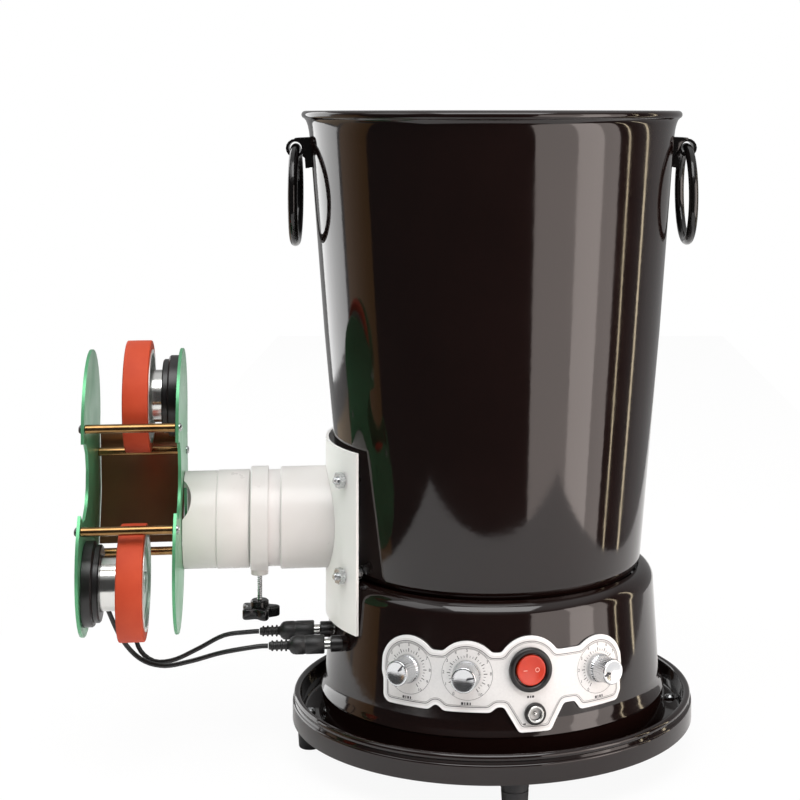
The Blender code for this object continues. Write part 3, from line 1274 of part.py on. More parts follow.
def motor_leads():
    """Lead of the lower motor to the front plug, and of the upper motor to the rear plug."""
    holder_back = NIP_FORWARD - HOLDER_RADIUS - GAP
    lower_exit = OUTER_SIDE - 0.5 * HOLDER_DEPTH
    upper_exit = INNER_SIDE + SIDE_SHEET + 0.5 * HOLDER_DEPTH
    front_y = SOCKET_SIDES["front"]
    rear_y = SOCKET_SIDES["rear"]
    front_end = plug_end("front") + GAP
    rear_end = plug_end("rear") + GAP
    motor_lead("motor_lead_lower", [
        (-front_end, front_y, SOCKET_HEIGHT),
        (-front_end - 0.006, front_y, SOCKET_HEIGHT - 0.0002),
        (-0.1400, -0.0270, 0.0590),
        (-0.1560, -0.0200, 0.0530),
        (-0.1700, -0.0130, 0.0490),
        (-0.1820, -0.0080, 0.0515),
        (-0.1915, -0.0070, 0.0620),
        (-0.1985, -0.0100, 0.0790),
        in_head(lower_exit, holder_back - 0.005, NIP_UP - WHEEL_SPREAD),
        in_head(lower_exit, holder_back, NIP_UP - WHEEL_SPREAD),
    ])
    motor_lead("motor_lead_upper", [
        (-rear_end, rear_y, SOCKET_HEIGHT),
        (-rear_end - 0.006, rear_y, SOCKET_HEIGHT - 0.0002),
        (-0.1400, -0.0035, 0.0605),
        (-0.1530, -0.0030, 0.0540),
        (-0.1660, -0.0030, 0.0485),
        (-0.1770, 0.0000, 0.0480),
        (-0.1850, 0.0060, 0.0560),
        (-0.1860, 0.0160, 0.0750),
        in_head(0.1820, -0.0330, -0.0080),
        in_head(0.1770, -0.0330, 0.0180),
        in_head(0.1710, -0.0230, 0.0420),
        in_head(0.1675, -0.0040, 0.0560),
        in_head(upper_exit, holder_back - 0.005, NIP_UP + WHEEL_SPREAD),
        in_head(upper_exit, holder_back, NIP_UP + WHEEL_SPREAD),
    ])


round_tray()
drum = base_drum()
bucket = bucket_shell()
ring_handle("right", HANDLE_AZIMUTH, bucket)
ring_handle("left", HANDLE_AZIMUTH + math.pi, bucket)
ball_feed()
circuit_board()
outlet = rod("bucket_outlet", TUBE_BORE_RADIUS, bucket_radius(TUBE_HEIGHT) - OUTLET_REACH,
             bucket_radius(TUBE_HEIGHT) + OUTLET_REACH, None, tube_line, TUBE_SEGMENTS, rotation=ALONG_TUBE)
cut(bucket, outlet)
mount_plate(bucket)
tube = feed_tube()
clamp(tube)
head_tube()
throwing_head()
wheel_unit("upper_wheel", WHEEL_SPREAD, ALONG_TUBE, WHEEL_MIDDLE - INNER_SIDE - SIDE_SHEET)
wheel_unit("lower_wheel", -WHEEL_SPREAD, (0.0, math.pi / 2.0, 0.0), OUTER_SIDE - WHEEL_MIDDLE)
controls(drum)
for side in SOCKET_SIDES:
    lead_socket_and_plug(side, drum)
motor_leads()
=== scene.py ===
"""Looks of a table tennis ball machine: an enamelled bucket on a drum, with a
side tube to a two-wheel throwing head. Metres, +Z up, in the frame of the CAD."""
import json
import math

import bpy
from mathutils import Matrix, Vector

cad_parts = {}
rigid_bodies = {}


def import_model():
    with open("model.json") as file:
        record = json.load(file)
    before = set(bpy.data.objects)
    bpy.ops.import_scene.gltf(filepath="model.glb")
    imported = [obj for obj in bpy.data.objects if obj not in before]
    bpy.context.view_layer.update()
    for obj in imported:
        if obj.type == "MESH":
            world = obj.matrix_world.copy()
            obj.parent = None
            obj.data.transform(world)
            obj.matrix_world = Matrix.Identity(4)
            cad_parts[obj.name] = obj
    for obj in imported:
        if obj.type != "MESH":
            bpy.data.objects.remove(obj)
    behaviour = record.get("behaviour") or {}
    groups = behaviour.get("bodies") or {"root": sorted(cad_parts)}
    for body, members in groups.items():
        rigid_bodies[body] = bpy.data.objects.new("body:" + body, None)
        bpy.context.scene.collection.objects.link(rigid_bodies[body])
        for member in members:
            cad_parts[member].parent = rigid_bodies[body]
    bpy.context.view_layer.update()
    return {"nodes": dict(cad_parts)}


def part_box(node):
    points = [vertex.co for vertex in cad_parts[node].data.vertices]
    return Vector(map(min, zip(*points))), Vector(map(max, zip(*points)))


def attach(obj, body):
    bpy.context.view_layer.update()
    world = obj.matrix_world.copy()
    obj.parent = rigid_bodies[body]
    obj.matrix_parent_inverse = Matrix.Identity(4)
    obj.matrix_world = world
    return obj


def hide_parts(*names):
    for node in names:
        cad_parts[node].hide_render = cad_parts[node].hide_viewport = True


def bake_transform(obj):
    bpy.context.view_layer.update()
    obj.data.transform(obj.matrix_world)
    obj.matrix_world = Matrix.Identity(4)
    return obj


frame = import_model()
nodes = frame["nodes"]


# The photograph's view: a long lens, held level a little over the rim's height,
# from the front and slightly left, with its frame set low and to the left.
PHOTO_YAW = -6.5


def settings_of(item, **settings):
    """Give an item its settings."""
    for key, value in settings.items():
        setattr(item, key, value)
    return item


def shift(x, y, z):
    """A move by so many metres."""
    return Matrix.Translation((x, y, z))


def spin(degrees, axis):
    """A turn about one axis."""
    return Matrix.Rotation(math.radians(degrees), 4, axis)


camera_data = settings_of(
    bpy.data.cameras.new("photo_lens"), lens=77.85, sensor_width=36.0, shift_x=-0.115, shift_y=-0.3675)
camera = bpy.data.objects.new("photo_camera", camera_data)
camera.location = (-0.052917, -0.907131, 0.334)
camera.rotation_euler = (math.pi / 2.0, 0.0, math.radians(PHOTO_YAW))
bpy.context.scene.collection.objects.link(camera)
bpy.context.scene.camera = camera


# The studio: a small white table in a room that is white behind the machine and
# dim in front of it, with soft boxes that the gloss enamel shows as tall bands.
AXIS_X = 0.5 * (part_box("bucket")[0][0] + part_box("bucket")[1][0])
MACHINE = shift(AXIS_X, 0.0, 0.0)
MACHINE_HEART = Vector((AXIS_X, 0.0, 0.12))
WHITE = (1.0, 1.0, 1.0, 1.0)
ROOM_FRONT, ROOM_BACK = 0.07, 0.36
CEILING_GLOW = 0.8
TABLE_LEFT, TABLE_RIGHT = -0.31, 0.335
TABLE_FRONT, TABLE_BACK = -0.345, 1.6
TABLE_GLOW_SHARE = 0.93


def linear(hex_colour):
    """The linear colour of an sRGB hex value."""
    channels = [int(hex_colour[i:i + 2], 16) / 255.0 for i in (0, 2, 4)]
    return tuple(c / 12.92 if c <= 0.04045 else ((c + 0.055) / 1.055) ** 2.4 for c in channels) + (1.0,)


def add_node(tree, kind, inputs=None, **settings):
    """Add a node with its settings; an input is a value or the socket that feeds it."""
    node = settings_of(tree.nodes.new(kind), **settings)
    for key, value in (inputs or {}).items():
        if isinstance(value, bpy.types.NodeSocket):
            tree.links.new(value, node.inputs[key])
        else:
            node.inputs[key].default_value = value
    return node


def calc(tree, operation, *values):
    """The value of one sum, of numbers or sockets."""
    return add_node(tree, "ShaderNodeMath", dict(enumerate(values)), operation=operation).outputs["Value"]


def ramp(tree, value, start, end, low, high, **settings):
    """A value that goes from low to high while another goes from start to end."""
    inputs = {"Value": value, "From Min": start, "From Max": end, "To Min": low, "To Max": high}
    return add_node(tree, "ShaderNodeMapRange", inputs, **settings).outputs["Result"]


def start_material(name, colour, roughness, metallic=0.0):
    """A material with one Principled shader, set to a finish's typical values."""
    material = bpy.data.materials.new(name)
    material.use_nodes = True
    set_shader(material, "Base Color", linear(colour))
    set_shader(material, "Roughness", roughness)
    set_shader(material, "Metallic", metallic)
    return material


def set_shader(material, key, value):
    """Set one of the shader's own values, or link the socket that feeds it."""
    socket = material.node_tree.nodes["Principled BSDF"].inputs[key]
    if isinstance(value, bpy.types.NodeSocket):
        material.node_tree.links.new(value, socket)
    else:
        socket.default_value = value


def pick(*pieces):
    """Select these pieces alone, with the first of them active."""
    for item in bpy.context.view_layer.objects.selected[:]:
        item.select_set(False)
    for item in pieces[::-1]:
        item.select_set(True)
        bpy.context.view_layer.objects.active = item


def shape(name, kind, **settings):
    """A new piece from one of Blender's own shapes, selected alone."""
    pick()
    getattr(bpy.ops.mesh, "primitive_" + kind + "_add")(**settings)
    return settings_of(bpy.context.object, name=name)


def keep_place():
    """Move the selected piece's place, turn and size into its mesh."""
    bpy.ops.object.transform_apply(location=True, rotation=True, scale=True)


world = bpy.data.worlds.new("white_room")
bpy.context.scene.world = world
world.use_nodes = True
sky = world.node_tree
view_way = add_node(sky, "ShaderNodeTexCoord")
way_parts = add_node(sky, "ShaderNodeSeparateXYZ", {"Vector": view_way.outputs["Generated"]})
room = calc(
    sky, "MAXIMUM",
    ramp(sky, way_parts.outputs["Y"], 0.0, 0.5, ROOM_FRONT, ROOM_BACK, interpolation_type="SMOOTHSTEP"),
    ramp(sky, way_parts.outputs["Z"], 0.35, 0.9, 0.0, CEILING_GLOW, interpolation_type="SMOOTHSTEP"))
ray = add_node(sky, "ShaderNodeLightPath")
backdrop = add_node(sky, "ShaderNodeMix", {"Factor": ray.outputs["Is Camera Ray"], "A": room, "B": 1.0})
sky.links.new(backdrop.outputs["Result"], sky.nodes["Background"].inputs["Strength"])
sky.nodes["Background"].inputs["Color"].default_value = WHITE

# Matt white laminate: it takes the machine's soft shadow, and looks as bright as the wall.
table = shape("white_table", "plane", size=1.0)
table.matrix_world = (MACHINE @ spin(PHOTO_YAW, "Z")
                      @ shift(0.5 * (TABLE_LEFT + TABLE_RIGHT), 0.5 * (TABLE_FRONT + TABLE_BACK), 0.0)
                      @ Matrix.Diagonal((TABLE_RIGHT - TABLE_LEFT, TABLE_BACK - TABLE_FRONT, 1.0, 1.0)))
keep_place()
table_white = start_material("matt_white_table", "F4F4F4", 0.9)
set_shader(table_white, "Specular IOR Level", 0.1)
table_tree = table_white.node_tree
table_ray = add_node(table_tree, "ShaderNodeLightPath")
table_share = calc(table_tree, "MULTIPLY", table_ray.outputs["Is Camera Ray"], TABLE_GLOW_SHARE)
table_glow = add_node(table_tree, "ShaderNodeEmission", {"Color": WHITE, "Strength": 1.0})
table_lit = table_tree.nodes["Principled BSDF"].outputs["BSDF"]
table_mix = add_node(table_tree, "ShaderNodeMixShader", {
    0: table_share, 1: table_lit, 2: table_glow.outputs["Emission"]})
table_tree.links.new(table_mix.outputs["Shader"], table_tree.nodes["Material Output"].inputs["Surface"])
table.data.materials.append(table_white)


def soft_box(name, turn, distance, height, size, glow, colour="FFFFFF"):
    """A rectangular lamp round the machine: turn is to the right from the camera, in degrees."""
    way = math.radians(turn + PHOTO_YAW)
    place = Vector((AXIS_X + distance * math.sin(way), -distance * math.cos(way), height))
    lamp = settings_of(
        bpy.data.lights.new(name, "AREA"), shape="RECTANGLE", size=size[0], size_y=size[1],
        energy=glow * math.pi * size[0] * size[1], color=linear(colour)[:3])
    item = bpy.data.objects.new(name, lamp)
    item.location = place
    item.rotation_euler = (MACHINE_HEART - place).to_track_quat("-Z", "Y").to_euler()
    item.visible_camera = False
    bpy.context.scene.collection.objects.link(item)


soft_box("white_wall_left", -128.0, 1.5, 0.47, (1.05, 1.26), 2.5)
soft_box("wooden_bench_left", -128.0, 1.5, -0.56, (1.05, 0.76), 0.8, "A07A35")
soft_box("wooden_door_left", -94.0, 1.4, 0.0, (0.62, 1.1), 0.7, "C08A45")
soft_box("wide_box_right", 55.0, 1.35, 0.05, (1.5, 1.6), 2.7, "FFF2EC")
soft_box("bright_band_right", 62.0, 1.3, 0.1, (0.42, 1.6), 2.4, "FFF2EC")
soft_box("door_gap_right", 92.0, 1.35, 0.1, (0.03, 1.5), 9.0, "F8E6C4")
soft_box("curtain_gap_right", 110.0, 1.35, 0.1, (0.05, 1.5), 6.0, "F8E6C4")
soft_box("overhead_box", 0.0, 0.75, 1.6, (1.4, 1.0), 4.6)
soft_box("high_left_box", -70.0, 1.1, 1.3, (0.8, 0.8), 1.6)


# The tray: sheet steel pressed into a dish with a rolled edge, under the same dark
# brown vitreous enamel as the rest. It is dipped and fired, so every corner is round.
SHEET = 0.0015
TRAY_FLOOR = 0.0165
TRAY_TOP = 0.033
TRAY_CENTRE_RADIUS = 0.0895
TRAY_RADIUS = 0.1045
TRAY_BEAD_CIRCLE = 0.102
TRAY_CORNER = 0.0015
TRAY_HOLE = 0.006
SKIRT_BOTTOM, SKIRT_TOP = 0.0162, 0.0257
SKIRT_CORNER = 0.001
BEAD = 0.0018
EASED = 0.0006
SAME_SPOT = 0.000001
SMOOTH_ANGLE = math.radians(40.0)


def arc(centre, radius, start, end, count):
    """Points on an arc of the outline, from start to end in degrees."""
    turns = [math.radians(start + (end - start) * i / (count - 1)) for i in range(count)]
    return [(centre[0] + radius * math.cos(turn), centre[1] + radius * math.sin(turn)) for turn in turns]


def change(piece, kind, **settings):
    """Add a modifier with its settings to the selected piece, and apply it."""
    settings_of(piece.modifiers.new(kind.lower(), kind), **settings)
    bpy.ops.object.modifier_apply(modifier=kind.lower())


def edit(start):
    """Enter edit mode, or leave it."""
    bpy.ops.object.mode_set(mode="EDIT" if start else "OBJECT")


def whole():
    """Select the whole mesh in edit mode."""
    bpy.ops.mesh.select_all(action="SELECT")


def trace(name, spots):
    """A new piece that is a point extruded from spot to spot, left in edit mode, all selected."""
    shape(name, "plane", size=0.001)
    edit(True)
    whole()
    bpy.ops.mesh.merge(type="CENTER")
    bpy.ops.transform.translate(value=spots[0])
    for here, there in zip(spots, spots[1:]):
        step = [b - a for a, b in zip(here, there)]
        bpy.ops.mesh.extrude_region_move(TRANSFORM_OT_translate={"value": step})
    whole()
    return bpy.context.object


def settle(piece, place):
    """Shade the round faces smooth and move the piece's place into its mesh."""
    bpy.ops.object.shade_smooth_by_angle(angle=SMOOTH_ANGLE)
    piece.matrix_world = place
    keep_place()
    return piece


def turned(name, outline, place, segments=96):
    """Trace an outline of (radius, height), spin it and put it in its place.

    An outline that doesn't start on the axis is closed. Each point keeps where it was
    on the lathe in the attribute lathe_place."""
    spots = [(radius, 0.0, height) for radius, height in outline]
    if spots[0][0] > 0.0:
        spots.append(spots[0])
    piece = trace(name, spots)
    bpy.ops.mesh.remove_doubles(threshold=SAME_SPOT)
    bpy.ops.mesh.spin(steps=segments, angle=2.0 * math.pi, center=(0.0, 0.0, 0.0), axis=(0.0, 0.0, 1.0))
    whole()
    bpy.ops.mesh.remove_doubles(threshold=SAME_SPOT)
    bpy.ops.mesh.normals_make_consistent(inside=False)
    edit(False)
    lathe = piece.data.attributes.new("lathe_place", "FLOAT_VECTOR", "POINT")
    lathe.data.foreach_set("vector", [value for point in piece.data.vertices for value in point.co])
    return settle(piece, place)


def finish_piece(piece, body, slot, material, *replaced):
    """Give a piece its material and the body it moves with, and hide the CAD nodes it stands for; the slot
    is not used.
    """
    piece.data.materials.clear()
    piece.data.materials.append(material)
    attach(piece, body)
    if replaced:
        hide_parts(*replaced)
    return piece


def lathe_piece(name, outline, place, steps, body, slot, material, *replaced):
    """A turned piece with its finish and its body; the slot is not used."""
    piece = turned(name, outline, place, steps)
    return finish_piece(piece, body, slot, material, *replaced)


def lifted(height, outline):
    """An outline moved along the lathe's axis."""
    return [(radius, height + up) for radius, up in outline]


def mix_tones(material, share, dark, light):
    """Mix the base colour of two tones by a share."""
    tone = add_node(
        material.node_tree, "ShaderNodeMix", {"Factor": share, "A": linear(dark), "B": linear(light)},
        data_type="RGBA")
    set_shader(material, "Base Color", tone.outputs["Result"])


def raise_skin(material, height, strength, depth):
    """Raise the surface by a height, through a bump of so much strength and depth."""
    bump = add_node(material.node_tree, "ShaderNodeBump", {
        "Height": height, "Strength": strength, "Distance": depth})
    set_shader(material, "Normal", bump.outputs["Normal"])


def grain(material, scale, detail=2.0, tones=None, gloss=None, span=(0.0, 1.0), skin=None):
    """Vary a finish by a noise in Object coordinates, with scale marks to the metre.

    It mixes two tones, sets the roughness between two values over its span, and raises
    the skin by a strength and a depth, whichever of these are given."""
    tree = material.node_tree
    place = add_node(tree, "ShaderNodeTexCoord").outputs["Object"]
    marks = add_node(tree, "ShaderNodeTexNoise", {
        "Vector": place, "Scale": scale, "Detail": detail}).outputs["Fac"]
    if tones:
        mix_tones(material, marks, *tones)
    if gloss:
        set_shader(material, "Roughness", ramp(tree, marks, *span, *gloss))
    if skin:
        raise_skin(material, marks, *skin)


def grained(name, colour, roughness, scale, detail=2.0, metallic=0.0, **looks):
    """A material whose finish varies by one grain."""
    material = start_material(name, colour, roughness, metallic)
    grain(material, scale, detail, **looks)
    return material


# Vitreous enamel is glass: index about 1.5, nearly black brown, deep gloss over a
# faint orange peel a few millimetres wide, with the odd dull rub.
ENAMEL_PEEL = 0.004
enamel = start_material("dark_brown_vitreous_enamel", "130A08", 0.07)
grain(enamel, 1.0 / ENAMEL_PEEL, 1.0, skin=(0.1, 0.00012))
grain(enamel, 28.0, 4.0, tones=("0F0605", "180C0A"), gloss=(0.055, 0.11), span=(0.35, 0.75))

bead = (TRAY_BEAD_CIRCLE, SKIRT_TOP + 0.5 * SHEET + BEAD)
wall = TRAY_BEAD_CIRCLE - SHEET
floor_corner = TRAY_FLOOR + SHEET + TRAY_CORNER
outline = arc(bead, BEAD, 90.0, -60.0, 12)
outline += arc((TRAY_RADIUS - SKIRT_CORNER, SKIRT_TOP - SKIRT_CORNER), SKIRT_CORNER, 90.0, 0.0, 5)
outline += [
    (TRAY_RADIUS, SKIRT_BOTTOM), (TRAY_RADIUS - SHEET, SKIRT_BOTTOM),
    (TRAY_RADIUS - SHEET, SKIRT_TOP - SHEET), (wall, SKIRT_TOP - SHEET), (wall, TRAY_FLOOR),
    (TRAY_CENTRE_RADIUS - SHEET, TRAY_FLOOR), (TRAY_CENTRE_RADIUS - SHEET, TRAY_TOP - SHEET),
    (TRAY_HOLE, TRAY_TOP - SHEET), (TRAY_HOLE, TRAY_TOP), (TRAY_CENTRE_RADIUS - EASED, TRAY_TOP),
    (TRAY_CENTRE_RADIUS, TRAY_TOP - EASED)]
outline += arc((TRAY_CENTRE_RADIUS + TRAY_CORNER, floor_corner), TRAY_CORNER, 180.0, 270.0, 5)
outline += arc((wall - SHEET - TRAY_CORNER, floor_corner), TRAY_CORNER, 270.0, 360.0, 5)
outline += [(wall - SHEET, SKIRT_TOP)]
outline += arc(bead, BEAD, 190.0, 110.0, 6)
lathe_piece("enamelled_tray", outline, MACHINE, 160, "base", "brown_enamel", enamel, "base_tray")


# Four black rubber feet, moulded with a soft edge and a ring groove, each held by a
# zinc plated screw from above.
FOOT_HEIGHT = 0.0162
CRISP_ANGLE = math.radians(32.0)
WELD = 0.000005

# Moulded rubber: matt black with a fine even grain.
rubber = grained("moulded_black_rubber", "17171A", 0.62, 1400.0, 3.0, skin=(0.25, 0.0002))

# Bright zinc plate: a silvery metal with a fine spangle, hazed in patches.
zinc = grained(
    "bright_zinc_plate", "C4C6C8", 0.26, 700.0, 3.0, metallic=1.0, tones=("AEB0B2", "DADCDD"),
    gloss=(0.18, 0.36))

# CAD pieces that stay, such as these screws, are welded and shaded smooth over their
# round faces, as turned and moulded pieces are, with their corners kept crisp.
smoothing = bpy.data.node_groups.new("smooth_round_faces", "GeometryNodeTree")
smoothing.interface.new_socket("Geometry", in_out="INPUT", socket_type="NodeSocketGeometry")
smoothing.interface.new_socket("Geometry", in_out="OUTPUT", socket_type="NodeSocketGeometry")
piece_in = add_node(smoothing, "NodeGroupInput")
welded = add_node(smoothing, "GeometryNodeMergeByDistance", {
    "Geometry": piece_in.outputs["Geometry"], "Distance": WELD})
round_faces = add_node(smoothing, "GeometryNodeSetShadeSmooth", {"Geometry": welded.outputs["Geometry"]})
corner = add_node(smoothing, "GeometryNodeInputMeshEdgeAngle")
sharp = add_node(
    smoothing, "FunctionNodeCompare", {0: corner.outputs["Unsigned Angle"], 1: CRISP_ANGLE},
    data_type="FLOAT", operation="GREATER_THAN")
crisp = add_node(smoothing, "GeometryNodeSetShadeSmooth", {
    "Geometry": round_faces.outputs["Geometry"], "Selection": sharp.outputs["Result"],
    "Shade Smooth": False}, domain="EDGE")
add_node(smoothing, "NodeGroupOutput", {"Geometry": crisp.outputs["Geometry"]})


def dress(material, *names):
    """Give CAD pieces that stay their finish, smooth round faces and crisp corners."""
    for name in names:
        item = nodes[name]
        item.data.materials.clear()
        item.data.materials.append(material)
        item.modifiers.new("smooth_round_faces", "NODES").node_group = smoothing


outline = [
    (0.0018, FOOT_HEIGHT), (0.0068, FOOT_HEIGHT), (0.00672, 0.0122), (0.0063, 0.012), (0.0063, 0.0112),
    (0.0066, 0.011), (0.006, 0.0014)]
outline += arc((0.0048, 0.0012), 0.0012, 0.0, -90.0, 5)
outline += [(0.003, 0.0), (0.0026, 0.0012), (0.0, 0.0012), (0.0, 0.01), (0.0018, 0.01)]
for number in "1234":
    low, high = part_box("foot_" + number)
    foot = turned(
        "rubber_foot_" + number, outline, shift(0.5 * (low[0] + high[0]), 0.5 * (low[1] + high[1]), 0.0), 40)
    finish_piece(foot, "base", "black_plastic", rubber, "foot_" + number)
    dress(zinc, "foot_screw_" + number)


# The drum: deep-drawn sheet steel with a rounded shoulder, a flared foot and a
# recess on top that the bucket stands in. Enamelled like the tray.
BASE_BOTTOM, BASE_TOP = 0.0333, 0.095
DECK_TOP = 0.0897
DECK_HOLE = 0.013
BASE_FOOT_RADIUS = 0.09
BASE_WAIST_RADIUS = 0.0873
BASE_WAIST = BASE_BOTTOM + 0.007
BASE_TOP_RADIUS = 0.0846
RECESS_RADIUS = 0.0764
SHOULDER = 0.008
shoulder = (BASE_TOP_RADIUS - SHOULDER, BASE_TOP - SHOULDER)
outline = arc(shoulder, SHOULDER, 87.0, 0.0, 18)
outline += [
    (BASE_WAIST_RADIUS, BASE_WAIST), (0.08775, BASE_BOTTOM + 0.0046), (0.08855, BASE_BOTTOM + 0.0024),
    (BASE_FOOT_RADIUS - 0.0001, BASE_BOTTOM + 0.0003), (BASE_FOOT_RADIUS, BASE_BOTTOM),
    (BASE_FOOT_RADIUS - SHEET, BASE_BOTTOM), (BASE_WAIST_RADIUS - SHEET, BASE_WAIST)]
outline += arc(shoulder, SHOULDER - SHEET, 0.0, 78.0, 8)
outline += [
    (RECESS_RADIUS + SHEET, DECK_TOP - SHEET), (DECK_HOLE, DECK_TOP - SHEET), (DECK_HOLE, DECK_TOP),
    (RECESS_RADIUS, DECK_TOP), (RECESS_RADIUS, BASE_TOP - EASED)]
lathe_piece("enamelled_drum", outline, MACHINE, 192, "base", "brown_enamel", enamel, "base_housing")


# The bucket: drawn sheet steel with straight leaning sides, a round bottom corner and
# a rim rolled outwards over a wire. Its round outlet leads into the ball tube.
BUCKET_BOTTOM, BUCKET_LIP = 0.09, 0.3265
BUCKET_FOOT_RADIUS, BUCKET_MOUTH_RADIUS = 0.0769, 0.0977
BUCKET_CORNER = 0.012
BUCKET_SHEET = 0.0012
BUCKET_HOLE = 0.0035
BUCKET_SLOPE = (BUCKET_MOUTH_RADIUS - BUCKET_FOOT_RADIUS) / (BUCKET_LIP - BUCKET_BOTTOM)
BUCKET_LEAN = math.degrees(math.atan(BUCKET_SLOPE))
RIM_BEAD = 0.002
TUBE_HEIGHT = 0.12
TUBE_BORE_RADIUS = 0.0217
NECK = (
    (0.0, 0.0), (0.0012, 0.0004), (0.003, 0.0008), (0.0055, 0.0011), (0.0085, 0.0012), (0.03, 0.001),
    (0.07, 0.0005), (0.11, 0.0), (0.17, 0.0))


def cut_out(piece, cutter):
    """Cut a shape out of a piece, and delete the shape."""
    pick(piece)
    change(piece, "BOOLEAN", operation="DIFFERENCE", object=cutter, solver="EXACT")
    bpy.data.objects.remove(cutter, do_unlink=True)


corner_height = BUCKET_BOTTOM + BUCKET_CORNER
corner_radius = BUCKET_FOOT_RADIUS + BUCKET_SLOPE * BUCKET_CORNER
corner_middle = (corner_radius - BUCKET_CORNER / math.cos(math.radians(BUCKET_LEAN)), corner_height)
rim = (BUCKET_MOUTH_RADIUS + 0.0003, BUCKET_LIP + 0.001 + RIM_BEAD)
neck = [(BUCKET_MOUTH_RADIUS - BUCKET_SLOPE * drop - drawn_in, BUCKET_LIP - drop) for drop, drawn_in in NECK]
outline = arc(rim, RIM_BEAD, 90.0, -70.0, 14) + neck
outline += arc(corner_middle, BUCKET_CORNER, -BUCKET_LEAN, -90.0, 16)
outline += [(BUCKET_HOLE, BUCKET_BOTTOM), (BUCKET_HOLE, BUCKET_BOTTOM + BUCKET_SHEET)]
outline += arc(corner_middle, BUCKET_CORNER - BUCKET_SHEET, -90.0, -BUCKET_LEAN, 10)
outline += [(radius - BUCKET_SHEET, height) for radius, height in neck[::-1]]
outline += arc(rim, RIM_BEAD, 200.0, 100.0, 8)
pail = turned("enamelled_bucket", outline, MACHINE, 192)
bore = shape("bore", "cylinder", vertices=64, radius=TUBE_BORE_RADIUS, depth=0.04,
             location=(AXIS_X - 0.0825, 0.0, TUBE_HEIGHT), rotation=(0.0, math.pi / 2.0, 0.0))
cut_out(pail, bore)
finish_piece(pail, "base", "brown_enamel", enamel, "bucket")


# Two ring handles of bent steel rod, enamelled black, hang in ears of curled sheet,
# which are riveted to the wall. A strap of the same sheet holds each ring in its ear.
RING_RADIUS, RING_ROD = 0.0245, 0.0025
PIVOT_HEIGHT = 0.312
HINGES = (("left", -0.052435, 0.007194, 176.0), ("right", 0.153312, -0.007194, -4.0))
STRAP_HALF_WIDTH = 0.005
STRAP_CURL = 0.0036
CLOSING = 0.00002


def flat_face(name, spots):
    """A face inside a closed outline, left in edit mode and selected."""
    piece = trace(name, spots + spots[:1])
    bpy.ops.mesh.remove_doubles(threshold=CLOSING)
    bpy.ops.mesh.edge_face_add()
    return piece


def soften(piece, width, segments, corner):
    """Round a piece's corners that turn by more than an angle, with an applied bevel."""
    change(piece, "BEVEL", width=width, segments=segments, limit_method="ANGLE",
           angle_limit=math.radians(corner), harden_normals=False)



def thick_piece(name, spots, way, width, segments, place):
    """A flat outline extruded one way, with its corners rounded by an applied bevel."""
    piece = flat_face(name, spots)
    bpy.ops.mesh.extrude_region_move(TRANSFORM_OT_translate={"value": way})
    whole()
    bpy.ops.mesh.normals_make_consistent(inside=False)
    edit(False)
    soften(piece, width, segments, 50.0)
    return settle(piece, place)


# Black enamel on rod: gloss, with a closer orange peel than the bucket's.
black_enamel = grained("black_vitreous_enamel", "0E0C0C", 0.1, 420.0, skin=(0.25, 0.0003))
strap_edge = [(-0.0088, 0.005), (-0.002, 0.0053), (0.0, 0.0053)]
strap_edge += arc((0.0, 0.0), STRAP_CURL, 90.0, 194.0, 9)
strap_edge += [
    (-0.0034, -0.0046), (-0.0044, -0.0056), (-0.006, -0.006), (-0.006, -0.0108), (-0.0088, -0.0108)]
strap_spots = [(x, STRAP_HALF_WIDTH, z) for x, z in strap_edge]
for side, hinge_x, hinge_y, azimuth in HINGES:
    hinge = shift(hinge_x, hinge_y, PIVOT_HEIGHT) @ spin(azimuth, "Z")
    ring = turned(
        "rod_ring_" + side, arc((RING_RADIUS, 0.0), RING_ROD, 0.0, 345.0, 24),
        hinge @ shift(0.0, 0.0, -RING_RADIUS) @ spin(90.0, "Y"))
    finish_piece(ring, "ring_" + side, "brown_enamel", black_enamel, "ring_handle_" + side)
    dress(black_enamel, "ear_" + side)
    strap = thick_piece(
        "ear_strap_" + side, strap_spots, (0.0, -2.0 * STRAP_HALF_WIDTH, 0.0), 0.0003, 2,
        hinge @ spin(BUCKET_LEAN, "Y"))
    finish_piece(strap, "base", "black_plastic", black_enamel)


# The control panel: aluminium sheet bent round the drum, lacquered silver white and
# screen printed with a double outline, three dials and small label marks.
PANEL_SHEET = 0.001
PANEL_SEAT = 0.0003
PANEL_CURVE = 0.08553
WALL_SLOPE = 0.05782
FLARE_SLOPE = 0.1774
SWITCH_TURN, SWITCH_HEIGHT = math.radians(5.6), 0.0644
JACK_TURN, JACK_HEIGHT = math.radians(6.9), 0.0436
DIALS = {
    "speed_top": (math.radians(-34.1), 0.0624), "speed_bottom": (math.radians(-14.4), 0.0624),
    "feed_rate": (math.radians(29.8), 0.0606)}
PANEL_TOP, PANEL_BOTTOM = 0.0726, 0.0473
LOBE_RADIUS, SWITCH_LOBE_RADIUS = 0.0156, 0.0158
TAB_DROP, TAB_HALF, TAB_SLOPE = 0.0177, 0.011, 0.003
JACK_TAB_BOTTOM, JACK_TAB_HALF, JACK_TAB_SLOPE = 0.0353, 0.0075, 0.007
COLUMNS = 400
OUTLINE_STEP = 0.0007
EASING_PASSES = 3
WHITE_BORDER = 0.0013
PANEL_CUTS = 60


def drum_radius(height):
    """Outer radius of the drum's wall at a height above the table."""
    if height < BASE_WAIST:
        return BASE_WAIST_RADIUS + FLARE_SLOPE * (BASE_WAIST - height)
    return BASE_TOP_RADIUS + WALL_SLOPE * (BASE_TOP - SHOULDER - height)


